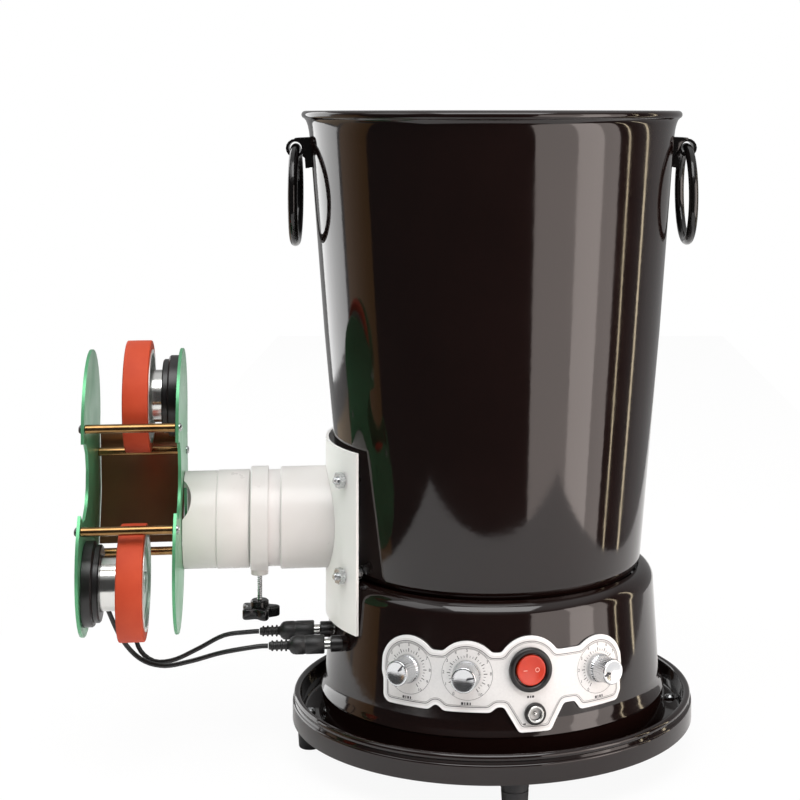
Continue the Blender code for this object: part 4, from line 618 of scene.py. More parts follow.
def panel_edge(station):
    """Lowest and highest point of the panel's outline at a place along the drum."""
    lobes = [(turn * PANEL_CURVE, height, LOBE_RADIUS) for turn, height in DIALS.values()]
    lobes.append((SWITCH_TURN * PANEL_CURVE, SWITCH_HEIGHT, SWITCH_LOBE_RADIUS))
    tabs = [(along, height - TAB_DROP, TAB_HALF, TAB_SLOPE) for along, height, _ in lobes[:3]]
    tabs.append((JACK_TURN * PANEL_CURVE, JACK_TAB_BOTTOM, JACK_TAB_HALF, JACK_TAB_SLOPE))
    tops, bottoms = [], []
    if lobes[0][0] <= station <= lobes[2][0]:
        tops.append(PANEL_TOP)
        bottoms.append(PANEL_BOTTOM)
    for along, height, reach in lobes:
        rise = reach ** 2 - (station - along) ** 2
        if rise > 0.0:
            tops.append(height + math.sqrt(rise))
            bottoms.append(height - math.sqrt(rise))
    for along, low, half, slope in tabs:
        beyond = abs(station - along) - half
        if beyond < slope and tops:
            bottoms.append(low + (PANEL_BOTTOM - low) * max(0.0, beyond) / slope)
    return min(bottoms), max(tops)


def at_even_steps(spots, step):
    """Points at even steps along a path, and the path's length."""
    travelled = [0.0]
    for a, b in zip(spots, spots[1:]):
        travelled.append(travelled[-1] + (b - a).length)
    count = round(travelled[-1] / step)
    even, place = [], 0
    for i in range(count + 1):
        wanted = travelled[-1] * i / count
        while place < len(spots) - 2 and travelled[place + 1] < wanted:
            place += 1
        share = (wanted - travelled[place]) / (travelled[place + 1] - travelled[place])
        even.append(spots[place].lerp(spots[place + 1], min(1.0, share)))
    return even, travelled[-1]


def evened(low, high):
    """The outline between two edges, drawn again at even steps with its corners eased."""
    spots = [Vector(spot) for spot in low + high[::-1] + low[:1]]
    even = at_even_steps(spots, OUTLINE_STEP)[0][:-1]
    for _ in range(EASING_PASSES):
        even = [0.25 * before + 0.5 * spot + 0.25 * after
                for before, spot, after in zip(even[-1:] + even[:-1], even, even[1:] + even[:1])]
    return even


panel_left = DIALS["speed_top"][0] * PANEL_CURVE - LOBE_RADIUS
panel_right = DIALS["feed_rate"][0] * PANEL_CURVE + LOBE_RADIUS
panel_width = panel_right - panel_left
stations = [panel_left + panel_width * i / COLUMNS for i in range(1, COLUMNS)]
edges = [(station,) + panel_edge(station) for station in stations]


def drawn_in_outline(distance):
    """The panel's outline moved inwards all round by a distance."""
    low, high = [], []
    for station in stations:
        near = [(math.sqrt(distance ** 2 - (other - station) ** 2), bottom, top)
                for other, bottom, top in edges if abs(other - station) < distance]
        floor = max(bottom + reach for reach, bottom, top in near)
        ceiling = min(top - reach for reach, bottom, top in near)
        if floor < ceiling and panel_left + distance < station < panel_right - distance:
            low.append((station, floor))
            high.append((station, ceiling))
    return evened(low, high)


def lay_on_drum(piece):
    """Bend a flat piece, drawn along X and up Z, round the drum to lie on the panel's face."""
    for point in piece.data.vertices:
        radius = drum_radius(point.co.z) + PANEL_SEAT + PANEL_SHEET - point.co.y
        turn = point.co.x / PANEL_CURVE
        point.co = (AXIS_X + radius * math.sin(turn), -radius * math.cos(turn), point.co.z)


# White lacquer for the border and silver lacquer for the field: satin, the one patchy
# in its sheen, the other with the faint sparkle of its flakes.
white_lacquer = grained("white_lacquer_border", "F2F2F2", 0.32, 300.0, 3.0, gloss=(0.26, 0.4))
silver_lacquer = grained(
    "silver_lacquer_field", "DADBDE", 0.34, 900.0, 3.0, metallic=0.05, tones=("DAD9D8", "E9E8E7"))

# Screen ink: soft black lines, a little worn.
ink = grained("black_screen_ink", "2A2A2E", 0.45, 1600.0, tones=("1C1C20", "3C3C42"))

panel_outline = evened([edge[:2] for edge in edges], [(station, top) for station, bottom, top in edges])
plate = flat_face("printed_panel", [(spot[0], 0.0, spot[1]) for spot in panel_outline])
plate.data.materials.append(white_lacquer)
plate.data.materials.append(silver_lacquer)
whole()
bpy.ops.mesh.inset(thickness=WHITE_BORDER, use_boundary=True)
plate.active_material_index = 1
bpy.ops.object.material_slot_assign()
whole()
bpy.ops.mesh.quads_convert_to_tris()
for i in range(1, PANEL_CUTS):
    whole()
    bpy.ops.mesh.bisect(
        plane_co=(panel_left + panel_width * i / PANEL_CUTS, 0.0, 0.0), plane_no=(1.0, 0.0, 0.0))
for height in (BASE_WAIST, 0.044, 0.05, 0.06, 0.07):
    whole()
    bpy.ops.mesh.bisect(plane_co=(0.0, 0.0, height), plane_no=(0.0, 0.0, 1.0))
edit(False)
lay_on_drum(plate)
middle_face = min(
    plate.data.polygons, key=lambda face: abs(face.center.x - AXIS_X) + abs(face.center.z - 0.06))
if middle_face.normal.y > 0.0:
    plate.data.flip_normals()
change(plate, "SOLIDIFY", thickness=PANEL_SHEET, offset=-1.0)
bpy.ops.object.shade_smooth_by_angle(angle=SMOOTH_ANGLE)
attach(plate, "base")
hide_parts("control_panel")

# Dials: ticks from seven o'clock round to five, numbers outside them and a fine circle.
INK = 0.00005
TICKS = 31
NUMBERS = 11
FIRST_TICK, DIAL_SWEEP = -146.0, 292.0
MAJOR_TICK = (0.0088, 0.0017, 0.00034)
MINOR_TICK = (0.0084, 0.001, 0.00022)
NUMBER_CIRCLE, NUMBER_SIZE = 0.0113, 0.0021
FINE_CIRCLE = 0.0121
DOUBLE_LINE = ((0.0023, 0.0003), (0.003, 0.00016))


def bar(along, height, turn, length, width):
    """One printed bar, its length towards the turn from straight up."""
    bpy.ops.mesh.primitive_cube_add(size=1.0, location=(along, -0.5 * INK, height),
                                    rotation=(0.0, turn, 0.0), scale=(width, INK, length))



def bars(along, height, pitch, length, widths):
    """A row of upright bars, which stands for a printed word."""
    for i, width in enumerate(widths):
        bar(along + pitch * i, height, 0.0, length, width)


print_marks = shape("dial_print", "plane", size=0.001)
edit(True)
bpy.ops.mesh.delete(type="VERT")
for turn_on_drum, dial_height in DIALS.values():
    centre = turn_on_drum * PANEL_CURVE
    for i in range(TICKS):
        turn = math.radians(FIRST_TICK + DIAL_SWEEP * i / (TICKS - 1))
        reach, length, width = MINOR_TICK if i % 3 else MAJOR_TICK
        bar(centre + reach * math.sin(turn), dial_height + reach * math.cos(turn), turn, length, width)
    bpy.ops.mesh.primitive_torus_add(
        major_radius=FINE_CIRCLE, minor_radius=0.00008, major_segments=72, minor_segments=4,
        location=(centre, 0.0, dial_height), rotation=(math.pi / 2.0, 0.0, 0.0))
    bars(centre - 0.0021, dial_height - 0.0137, 0.00125, 0.0012, (0.0011, 0.0005, 0.0009, 0.0006))
bars(SWITCH_TURN * PANEL_CURVE - 0.0012, SWITCH_HEIGHT - 0.0128, 0.0012, 0.001, (0.0009, 0.0006, 0.001))
bars(JACK_TURN * PANEL_CURVE - 0.005, JACK_HEIGHT - 0.0046, 0.0, 0.0006, (0.0012,))
edit(False)
prints = []
for drawn_in, width in DOUBLE_LINE:
    prints.append(flat_face("outline_print", [
        (spot[0], -INK, spot[1]) for spot in drawn_in_outline(drawn_in)]))
    bpy.ops.mesh.inset(thickness=width, use_boundary=True)
    bpy.ops.mesh.delete(type="FACE")
    edit(False)
for turn_on_drum, dial_height in DIALS.values():
    for number in range(NUMBERS):
        turn = math.radians(FIRST_TICK + DIAL_SWEEP * number / (NUMBERS - 1))
        place = (
            turn_on_drum * PANEL_CURVE + NUMBER_CIRCLE * math.sin(turn), 0.0,
            dial_height + NUMBER_CIRCLE * math.cos(turn))
        bpy.ops.object.text_add(location=place, rotation=(math.pi / 2.0, 0.0, 0.0))
        settings_of(
            bpy.context.object.data, body=str(number), size=NUMBER_SIZE, align_x="CENTER", align_y="CENTER",
            extrude=0.5 * INK, resolution_u=3)
        bpy.ops.object.convert(target="MESH")
        keep_place()
        prints.append(bpy.context.object)
pick(print_marks, *prints)
bpy.ops.object.join()
lay_on_drum(print_marks)
finish_piece(print_marks, "base", "printed_panel", ink)


# Three control knobs turned from bright aluminium bar: fluted sides, a spun face and a
# pointer line, pushed on the shafts of the potentiometers behind the wall.
KNOB_BASE, KNOB_TOP = 0.00175, 0.0128
KNOB_RADIUS, KNOB_FOOT_RADIUS = 0.006, 0.0068
KNOB_BORE, KNOB_SHAFT = 0.0042, 0.0024
FLUTES = 36.0
POINTERS = {"speed_top": -40.0, "speed_bottom": -75.0, "feed_rate": 100.0}


def wall_place(turn, height):
    """The place on the drum's wall where a control stands, its Z axis straight out."""
    radius = drum_radius(height)
    return (shift(AXIS_X + radius * math.sin(turn), -radius * math.cos(turn), height)
            @ Matrix.Rotation(turn, 4, "Z") @ Matrix.Rotation(math.pi / 2.0 - math.atan(WALL_SLOPE), 4, "X"))


# Bright turned aluminium: a mirror-like metal whose fine flutes break up its sides and
# leave only a trace on the face.
knob_metal = start_material("turned_bright_aluminium", "D2D4D6", 0.2, 1.0)
knob_tree = knob_metal.node_tree
knob_at = add_node(knob_tree, "ShaderNodeAttribute", attribute_name="lathe_place")
knob_parts = add_node(knob_tree, "ShaderNodeSeparateXYZ", {"Vector": knob_at.outputs["Vector"]})
knob_turn = calc(knob_tree, "ARCTAN2", knob_parts.outputs["Y"], knob_parts.outputs["X"])
knob_wave = calc(knob_tree, "SINE", calc(knob_tree, "MULTIPLY", knob_turn, FLUTES))
knob_spun = ramp(knob_tree, knob_parts.outputs["Z"], KNOB_TOP - 0.0012, KNOB_TOP - 0.0006, 1.0, 0.06)
raise_skin(knob_metal, calc(knob_tree, "MULTIPLY", knob_wave, knob_spun), 0.5, 0.0001)

outline = [(0.0, KNOB_TOP - 0.0004), (0.0036, KNOB_TOP - 0.0004), (0.0042, KNOB_TOP), (0.0054, KNOB_TOP)]
outline += arc((0.0054, KNOB_TOP - EASED), EASED, 80.0, 0.0, 5)
outline += lifted(KNOB_BASE, [
    (KNOB_RADIUS, 0.003), (0.0064, 0.0022), (0.0067, 0.0019), (KNOB_FOOT_RADIUS, 0.0015),
    (KNOB_FOOT_RADIUS, 0.0), (KNOB_BORE, 0.0), (KNOB_BORE, 0.0035), (KNOB_SHAFT, 0.0035)])
outline += [(KNOB_SHAFT, -0.0075), (0.0, -0.0075)]
for name, (turn, height) in DIALS.items():
    place = wall_place(turn, height)
    lathe_piece(
        "turned_knob_" + name, outline, place, 72, "knob_" + name, "spun_aluminium", knob_metal,
        "knob_" + name)
    pointer = shape("pointer_line_" + name, "cube", size=1.0, location=(0.0, 0.0036, KNOB_TOP + 0.00002))
    pointer.scale = (0.0007, 0.004, 0.0006)
    keep_place()
    soften(pointer, 0.0001, 1, 28.0)
    settle(pointer, place @ spin(POINTERS[name], "Z"))
    finish_piece(pointer, "knob_" + name, "black_plastic", ink)
    dress(zinc, "potentiometer_" + name)


# The round rocker switch: a satin black nylon bezel, pushed into the wall, and a red
# polycarbonate rocker with a dash and a ring moulded in its face.
BEZEL_BASE, BEZEL_TOP = 0.0016, 0.004
BEZEL_RADIUS, BEZEL_MOUTH = 0.0105, 0.0076
SWITCH_BODY_RADIUS, SWITCH_DEPTH = 0.0094, -0.015
MARK_OFFSET = 0.003

# Moulded nylon: black with a satin sheen and a very fine texture.
nylon = grained("moulded_black_nylon", "121011", 0.34, 2200.0, skin=(0.3, 0.00008))

# Red polycarbonate: glossy, with a little light let in under its skin.
polycarbonate = start_material("red_polycarbonate", "C42A1A", 0.22)
set_shader(polycarbonate, "Subsurface Weight", 0.15)
set_shader(polycarbonate, "Subsurface Radius", (0.002, 0.0004, 0.0002))
grain(polycarbonate, 260.0, tones=("B4260F", "C8381C"))

# Marking ink: pale pink white, a little uneven.
pale_mark = grained("pale_marking_ink", "F0B4A4", 0.4, 1500.0, tones=("E59A88", "F6C8BC"))

switch_place = wall_place(SWITCH_TURN, SWITCH_HEIGHT)
outline = [
    (0.0, -0.0035), (BEZEL_MOUTH, -0.0035), (BEZEL_MOUTH, BEZEL_TOP - 0.0012), (0.0078, BEZEL_TOP - 0.0005)]
outline += arc((0.0086, BEZEL_TOP - EASED), EASED, 150.0, 90.0, 4)
outline += arc((0.0092, BEZEL_TOP - 0.0013), 0.0013, 80.0, 0.0, 7)
outline += [
    (BEZEL_RADIUS, BEZEL_BASE), (SWITCH_BODY_RADIUS, BEZEL_BASE), (SWITCH_BODY_RADIUS, SWITCH_DEPTH),
    (0.0, SWITCH_DEPTH)]
lathe_piece("switch_bezel", outline, switch_place, 80, "base", "black_plastic", nylon, "switch_body")
rocker_place = switch_place @ shift(0.0, 0.0, 0.0015) @ spin(5.0, "Y")
outline = [(0.0, 0.0017), (0.003, 0.0018), (0.0055, 0.0021)]
outline += arc((0.0067, 0.0018), 0.0005, 100.0, 0.0, 4)
outline += [(0.0072, -0.0023), (0.0, -0.0023)]
lathe_piece("red_rocker", outline, rocker_place, 64, "rocker", "red_plastic", polycarbonate, "switch_rocker")
rocker_marks = shape("rocker_marks", "torus", major_radius=0.00095, minor_radius=0.00016,
                     major_segments=32, minor_segments=8, location=(MARK_OFFSET, 0.0, 0.00185))
keep_place()
edit(True)
bpy.ops.mesh.primitive_cube_add(size=1.0, location=(-MARK_OFFSET, 0.0, 0.0018),
                                scale=(0.0019, 0.00034, 0.00025))
edit(False)
settle(rocker_marks, rocker_place)
finish_piece(rocker_marks, "rocker", "red_plastic", pale_mark)


# The power inlet: a black nylon nut, a nickelled brass ring round a dark bore, and a
# centre pin. The nut holds it in the panel.
JACK_TOP = 0.0038
JACK_BORE, JACK_RING = 0.0029, 0.004
JACK_FLOOR = -0.0052

# Nickel plate: a bright slightly warm metal, hazed here and there.
nickel = grained("nickel_plated_brass", "CFCFCC", 0.16, 350.0, 3.0, metallic=1.0, gloss=(0.1, 0.24))

jack_place = wall_place(JACK_TURN, JACK_HEIGHT)
outline = [(JACK_RING, 0.0016), (JACK_RING, JACK_TOP - 0.0005)]
outline += arc((0.0046, JACK_TOP - 0.0011), 0.0006, 90.0, 0.0, 5)
outline += [(0.0052, 0.0016), (0.0043, 0.0016), (0.0043, -0.012), (JACK_RING, -0.012)]
lathe_piece("inlet_nut", outline, jack_place, 48, "base", "nickel_plate", nylon, "power_jack")
outline = [
    (JACK_BORE, JACK_TOP - 0.001), (JACK_BORE, JACK_TOP - 0.0002), (0.0031, JACK_TOP), (0.0038, JACK_TOP),
    (JACK_RING, JACK_TOP - 0.0002), (JACK_RING, JACK_TOP - 0.001)]
lathe_piece("inlet_ring", outline, jack_place, 48, "base", "nickel_plate", nickel)
outline = [
    (0.0, JACK_FLOOR), (JACK_BORE, JACK_FLOOR), (JACK_BORE, JACK_TOP - 0.0011),
    (JACK_RING, JACK_TOP - 0.0011), (JACK_RING, -0.007), (0.0, -0.007)]
lathe_piece("inlet_bore", outline, jack_place, 40, "base", "black_plastic", ink)
outline = [(0.0, JACK_TOP - 0.001)] + arc((0.0004, JACK_TOP - 0.0016), 0.0006, 80.0, 0.0, 4)
outline += [(0.001, JACK_FLOOR), (0.0, JACK_FLOOR)]
lathe_piece("inlet_pin", outline, jack_place, 24, "base", "nickel_plate", nickel)


# The ball tube is white rigid PVC pipe: a fixed length glued in the bent mount plate, a
# clamp collar, and a length that turns in the collar with the head. The plate is sheet
# steel sprayed white, held by four zinc plated screws.
HEAD_PITCH = 21.0
TUBE_HEART = MACHINE @ shift(0.0, 0.0, TUBE_HEIGHT)
HEAD = TUBE_HEART @ spin(-HEAD_PITCH, "X")
COLLAR_START, COLLAR_END = 0.117038, 0.126038
SPIGOT_START, SPIGOT_RADIUS = 0.092538, 0.0233
HEAD_TUBE_STEP, INNER_SIDE, OUTER_SIDE = 0.143038, 0.160038, 0.205538
TURNING_RADIUS, TURNING_LIP_RADIUS, TURNING_GROOVE = 0.0247, 0.025, 0.0244
TURNING_END = INNER_SIDE - 0.0003
TURNING_START = COLLAR_END + 0.0005
NOTCH_RADIUS, NOTCH_DEPTH = 0.0148, 0.013
NIP_FORWARD, NIP_UP = 0.034, 0.0118

# PVC: a low sheen with a handling haze, and a faint unevenness from the extruder.
pvc = grained(
    "white_rigid_pvc", "F4F2EE", 0.34, 60.0, 5.0, tones=("DAD5D2", "E2DFDD"), gloss=(0.26, 0.42),
    span=(0.3, 0.7))
grain(pvc, 500.0, skin=(0.06, 0.0002))
dress(pvc, "feed_tube", "clamp_collar")

# Sprayed paint: satin, with the fine dimples of a spray gun; its white is set brighter than the tube's as
# painted light, making up for the light that reaches the plate less.
sprayed = grained("sprayed_white_paint_painted_light", "FCFAF7", 0.4, 900.0, 3.0, skin=(0.12, 0.0001))
dress(sprayed, "mount_plate")
dress(zinc, "plate_bolt_1", "plate_bolt_2", "plate_bolt_3", "plate_bolt_4")

outline = [
    (TURNING_RADIUS, TURNING_END), (TURNING_RADIUS, HEAD_TUBE_STEP + 0.0005),
    (TURNING_GROOVE, HEAD_TUBE_STEP + 0.0003), (TURNING_GROOVE, HEAD_TUBE_STEP - 0.0001),
    (TURNING_LIP_RADIUS, HEAD_TUBE_STEP - 0.0003), (TURNING_LIP_RADIUS, TURNING_START + 0.0005),
    (0.0246, TURNING_START), (SPIGOT_RADIUS, TURNING_START), (SPIGOT_RADIUS, SPIGOT_START),
    (TUBE_BORE_RADIUS, SPIGOT_START), (TUBE_BORE_RADIUS, TURNING_END)]
turning_tube = turned("turning_tube", outline, HEAD @ spin(-90.0, "Y"))
notch = shape("notch", "cylinder", vertices=48, radius=NOTCH_RADIUS, depth=NOTCH_DEPTH)
notch.matrix_world = (HEAD @ shift(-TURNING_END - 0.0106, 0.0, 0.5 * NIP_UP + 0.001) @ spin(90.0, "X")
                      @ shift(0.0, 0.0, 0.0232))
cut_out(turning_tube, notch)
finish_piece(turning_tube, "head", "white_pvc", pvc, "head_tube")


# The clamp screw: a zinc plated steel stud with a rolled thread, moulded into a
# five-lobed grip of gloss black phenolic.
STUD_TOP, STUD_BOTTOM = -0.0243, -0.0436
THREADS, THREAD_PITCH = 19, 0.001
THREAD_CREST, THREAD_ROOT, STUD_TIP = 0.0014, 0.0012, 0.0011
GRIP_TOP, GRIP_BOTTOM, GRIP_REACH = -0.0424, -0.0512, 0.0104
GRIP_SHOULDER = GRIP_TOP - 0.0032
GRIP_POINTS = 60
LOBES, LOBE_HEIGHT, LOBE_HOLLOW = 5.0, 0.2, 0.17

# Phenolic: a hard black gloss with slightly duller flow marks.
phenolic = grained("moulded_black_phenolic", "0F0F10", 0.18, 420.0, gloss=(0.12, 0.28))

clamp_place = TUBE_HEART @ shift(-0.5 * (COLLAR_START + COLLAR_END), 0.0, 0.0)
outline = [(0.0, STUD_TOP), (STUD_TIP, STUD_TOP)]
for i in range(THREADS):
    thread = STUD_TOP - 0.0007 - THREAD_PITCH * i
    outline += [(THREAD_CREST, thread), (THREAD_ROOT, thread - 0.5 * THREAD_PITCH)]
outline += [(THREAD_CREST, STUD_BOTTOM), (0.0, STUD_BOTTOM)]
lathe_piece("threaded_stud", outline, clamp_place, 28, "clamp_screw", "zinc_plate", zinc)
grip_spots = []
for i in range(GRIP_POINTS):
    turn = 2.0 * math.pi * i / GRIP_POINTS
    wave = math.cos(LOBES * turn)
    reach = GRIP_REACH * (1.0 - LOBE_HEIGHT + wave * (LOBE_HEIGHT if wave > 0.0 else LOBE_HOLLOW))
    grip_spots.append((reach * math.cos(turn), reach * math.sin(turn), GRIP_SHOULDER))
grip = thick_piece(
    "five_lobe_grip", grip_spots, (0.0, 0.0, GRIP_BOTTOM - GRIP_SHOULDER), 0.0011, 4, clamp_place)
finish_piece(grip, "clamp_screw", "black_plastic", phenolic, "clamp_screw")
hub_top = [
    (THREAD_CREST, GRIP_TOP), (0.004, GRIP_TOP), (0.0047, GRIP_TOP - 0.0007), (0.0049, GRIP_TOP - 0.0036),
    (THREAD_CREST, GRIP_TOP - 0.0036)]
lathe_piece("grip_hub", hub_top, clamp_place, 48, "clamp_screw", "black_plastic", phenolic)


# The head's two side plates are laser cut from polished stainless steel. The narrow
# sheet behind the ball is polished steel, screwed between them, coloured dark brown as painted shade and a
# painted reflection of the ball.
# Polished stainless: a soft mirror, hazed in patches; its green colour is a painted reflection of a green
# backdrop, not the steel's own.
stainless = grained(
    "polished_stainless_painted_green_reflection", "6FAA88", 0.3, 45.0, 5.0, metallic=0.45, tones=("549A6E", "66AA7E"),
    gloss=(0.26, 0.4), span=(0.3, 0.7))
set_shader(stainless, "Specular IOR Level", 0.25)
dress(stainless, "inner_plate", "outer_plate")

# Polished steel with painted shade: a mirror with long smears, its dark brown colour a painted shadow and a
# painted reflection of the ball.
steel_painted_shade = grained(
    "polished_steel_painted_shade", "7A563C", 0.2, 45.0, 5.0, metallic=0.6, tones=("74503A", "94694A"),
    gloss=(0.14, 0.32))
dress(steel_painted_shade, "back_panel")


# Four spacer rods of yellow zinc plated steel hold the plates apart, each with a small
# black oxide screw at its outer end and a zinc plated one at its inner end.
SIDE_SHEET = 0.0015
ROD_SPOTS = {
    "front_upper": (0.027, 0.0246), "front_lower": (0.027, -0.0246), "rear_upper": (-0.0367, 0.0246),
    "rear_lower": (-0.0555, -0.0246)}
ROD_RADIUS, ROD_END_RADIUS = 0.0022, 0.0019
ROD_FROM, ROD_TO = INNER_SIDE + SIDE_SHEET + 0.0001, OUTER_SIDE - 0.0001
OUTER_FACE = OUTER_SIDE + SIDE_SHEET
CLEAR_OF_TUBE = 0.0274

# Yellow zinc plate: a gold metal whose chromate shifts from brown to straw.
yellow_zinc = grained(
    "yellow_zinc_plate", "B8935A", 0.2, 160.0, 3.0, metallic=1.0, tones=("6E4E2E", "A58458"),
    gloss=(0.12, 0.32))

# Black oxide steel: a dark grey half-metal, worn lighter in spots.
dark_screw = grained("black_oxide_steel", "2A2A2C", 0.35, 1500.0, metallic=0.8, tones=("1C1C1E", "48484C"))

rod_outline = [
    (0.0, ROD_TO), (ROD_END_RADIUS, ROD_TO), (ROD_RADIUS, ROD_TO - 0.0003), (ROD_RADIUS, ROD_FROM + 0.0003),
    (ROD_END_RADIUS, ROD_FROM), (0.0, ROD_FROM)]
outer_outline = lifted(OUTER_FACE, [
    (0.0, 0.001), (0.0007, 0.001), (0.0009, 0.0014), (0.0014, 0.0013), (0.0021, 0.0006), (0.0021, 0.0),
    (0.0, 0.0)])
inner_outline = [(radius, INNER_SIDE + OUTER_FACE - height) for radius, height in outer_outline[::-1]]
for name, (forward, up) in ROD_SPOTS.items():
    place = HEAD @ shift(0.0, -NIP_FORWARD - forward, NIP_UP + up) @ spin(-90.0, "Y")
    lathe_piece(
        "spacer_" + name, rod_outline, place, 40, "head", "yellow_zinc_rod", yellow_zinc,
        "spacer_rod_" + name)
    lathe_piece("outer_screw_" + name, outer_outline, place, 28, "head", "black_plastic", dark_screw)
    if math.hypot(NIP_FORWARD + forward, NIP_UP + up) > CLEAR_OF_TUBE:
        lathe_piece("inner_screw_" + name, inner_outline, place, 28, "head", "zinc_plate", zinc)


# Two throwing wheels: a ground polyurethane rubber tyre stretched over a turned hub,
# each on a nickelled motor can, pressed into a stepped nylon holder on its side plate.
WHEEL_RADIUS, WHEEL_MIDDLE, WHEEL_SPREAD = 0.0282, 0.182038, 0.046
HALF_TYRE = 0.00625
TYRE_SEAT = WHEEL_RADIUS - 0.0045
TYRE_EDGE = 0.0007
HUB_RING_PITCH = 0.0005
AXLE, BOSS = 0.0016, 0.005
CAN_RADIUS, CAN_NECK, CAN_BORE = 0.0132, 0.0062, 0.0019
CUP_MOUTH, CUP_RADIUS, CUP_FLANGE = 0.0135, 0.0186, 0.0205

# Polyurethane rubber: matt orange red, ground rough and dusty in patches.
tyre_rubber = grained("orange_polyurethane_rubber", "D8452A", 0.72, 1100.0, 3.0, skin=(0.35, 0.00015))
grain(tyre_rubber, 140.0, 4.0, tones=("B0340F", "C04620"))

# Pale anodised aluminium: a soft metal sheen with the fine rings of the lathe.
hub_metal = start_material("pale_anodised_aluminium", "DADCDA", 0.36, 0.7)
hub_tree = hub_metal.node_tree
hub_at = add_node(hub_tree, "ShaderNodeAttribute", attribute_name="lathe_place")
hub_reach = add_node(hub_tree, "ShaderNodeVectorMath", {0: hub_at.outputs["Vector"], 1: (1.0, 1.0, 0.0)},
                     operation="MULTIPLY")
hub_radius = add_node(hub_tree, "ShaderNodeVectorMath", {0: hub_reach.outputs["Vector"]}, operation="LENGTH")
hub_rings = calc(hub_tree, "MULTIPLY", hub_radius.outputs["Value"], 2.0 * math.pi / HUB_RING_PITCH)
raise_skin(hub_metal, calc(hub_tree, "SINE", hub_rings), 0.2, 0.00003)

tyre_outline = [(TYRE_SEAT, HALF_TYRE)]
tyre_outline += arc((WHEEL_RADIUS - TYRE_EDGE, HALF_TYRE - TYRE_EDGE), TYRE_EDGE, 85.0, 5.0, 4)
tyre_outline += [(WHEEL_RADIUS + 0.00005, 0.0)]
tyre_outline += arc((WHEEL_RADIUS - TYRE_EDGE, TYRE_EDGE - HALF_TYRE), TYRE_EDGE, -5.0, -85.0, 4)
tyre_outline += [(TYRE_SEAT, -HALF_TYRE)]
hub_rim = TYRE_SEAT - 0.0001
half_rim = HALF_TYRE + 0.0004
web_face = half_rim - 0.0012
web_back = web_face - 0.0025
boss_back = web_back - 0.001
motor_face = boss_back - 0.0008
axle_end = motor_face - 0.008
hub_outline = lifted(web_face, [
    (0.0, 0.001), (0.0012, 0.001), (AXLE, 0.0007), (0.0044, 0.001), (BOSS, 0.0006), (BOSS, 0.0),
    (0.013, 0.0), (0.0134, -0.0004), (0.0176, -0.0004), (0.018, 0.0), (hub_rim - 0.0024, 0.0)])
hub_outline += [
    (hub_rim - 0.002, half_rim), (hub_rim, half_rim), (hub_rim, -half_rim), (hub_rim - 0.002, -half_rim),
    (hub_rim - 0.002, web_back), (BOSS, web_back), (BOSS, boss_back), (AXLE, boss_back), (AXLE, axle_end),
    (0.0, axle_end)]
for wheel, up, turn, holder_gap in (
        ("upper_wheel", WHEEL_SPREAD, -90.0, WHEEL_MIDDLE - INNER_SIDE - SIDE_SHEET),
        ("lower_wheel", -WHEEL_SPREAD, 90.0, OUTER_SIDE - WHEEL_MIDDLE)):
    place = HEAD @ shift(-WHEEL_MIDDLE, -NIP_FORWARD, NIP_UP + up) @ spin(turn, "Y")
    lathe_piece(
        wheel + "_rubber", tyre_outline, place, 128, wheel, "orange_rubber", tyre_rubber, wheel + "_tyre")
    lathe_piece(
        wheel + "_pale_hub", hub_outline, place, 96, wheel, "nickel_plate", hub_metal, wheel + "_hub")
    holder_back = 0.0003 - holder_gap
    can_floor = holder_back + 0.0018
    outline = lifted(motor_face, [
        (0.0, -0.0083), (CAN_BORE, -0.0083), (CAN_BORE, 0.0), (0.0058, 0.0), (0.0061, -0.0016),
        (CAN_NECK, -0.0018), (0.012, -0.0018), (CAN_RADIUS, -0.003)])
    outline += [(CAN_RADIUS, can_floor), (0.0, can_floor)]
    lathe_piece(wheel + "_motor_can", outline, place, 80, "head", "nickel_plate", nickel, wheel + "_motor")
    outline = lifted(holder_back, [
        (0.0, 0.0015), (CUP_MOUTH, 0.0015), (CUP_MOUTH, 0.0077), (0.0138, 0.008), (0.018, 0.008),
        (CUP_RADIUS, 0.0074), (CUP_RADIUS, 0.0052), (0.0199, 0.005), (CUP_FLANGE, 0.0043), (CUP_FLANGE, 0.0),
        (0.0, 0.0)])
    lathe_piece(
        wheel + "_motor_cup", outline, place, 96, "head", "black_plastic", nylon, wheel + "_motor_holder")


# The two lead sockets and plugs: black mouldings on the drum's wall, the plug with a
# ribbed strain relief, and a nickelled barrel between them.
SOCKET_HEIGHT = 0.0622
SOCKETS = {"front": -0.029, "rear": -0.004}
SOCKET_RADIUS, SOCKET_BORE = 0.004, 0.0028
PLUG_GAP, PLUG_LENGTH, BOOT_LENGTH = 0.003, 0.017, 0.011
PLUG_RADIUS, PLUG_GROOVE = 0.0047, 0.0045
RIBS, RIB_PITCH, RIB_ROOT, RIB_CREST = 4, 0.0023, 0.002, 0.0026
BARREL_RADIUS = 0.0025

# Soft PVC: black, duller than the nylon, with a fine even grain.
soft_pvc = grained("moulded_soft_black_pvc", "161617", 0.46, 1300.0, 3.0, skin=(0.25, 0.0001))

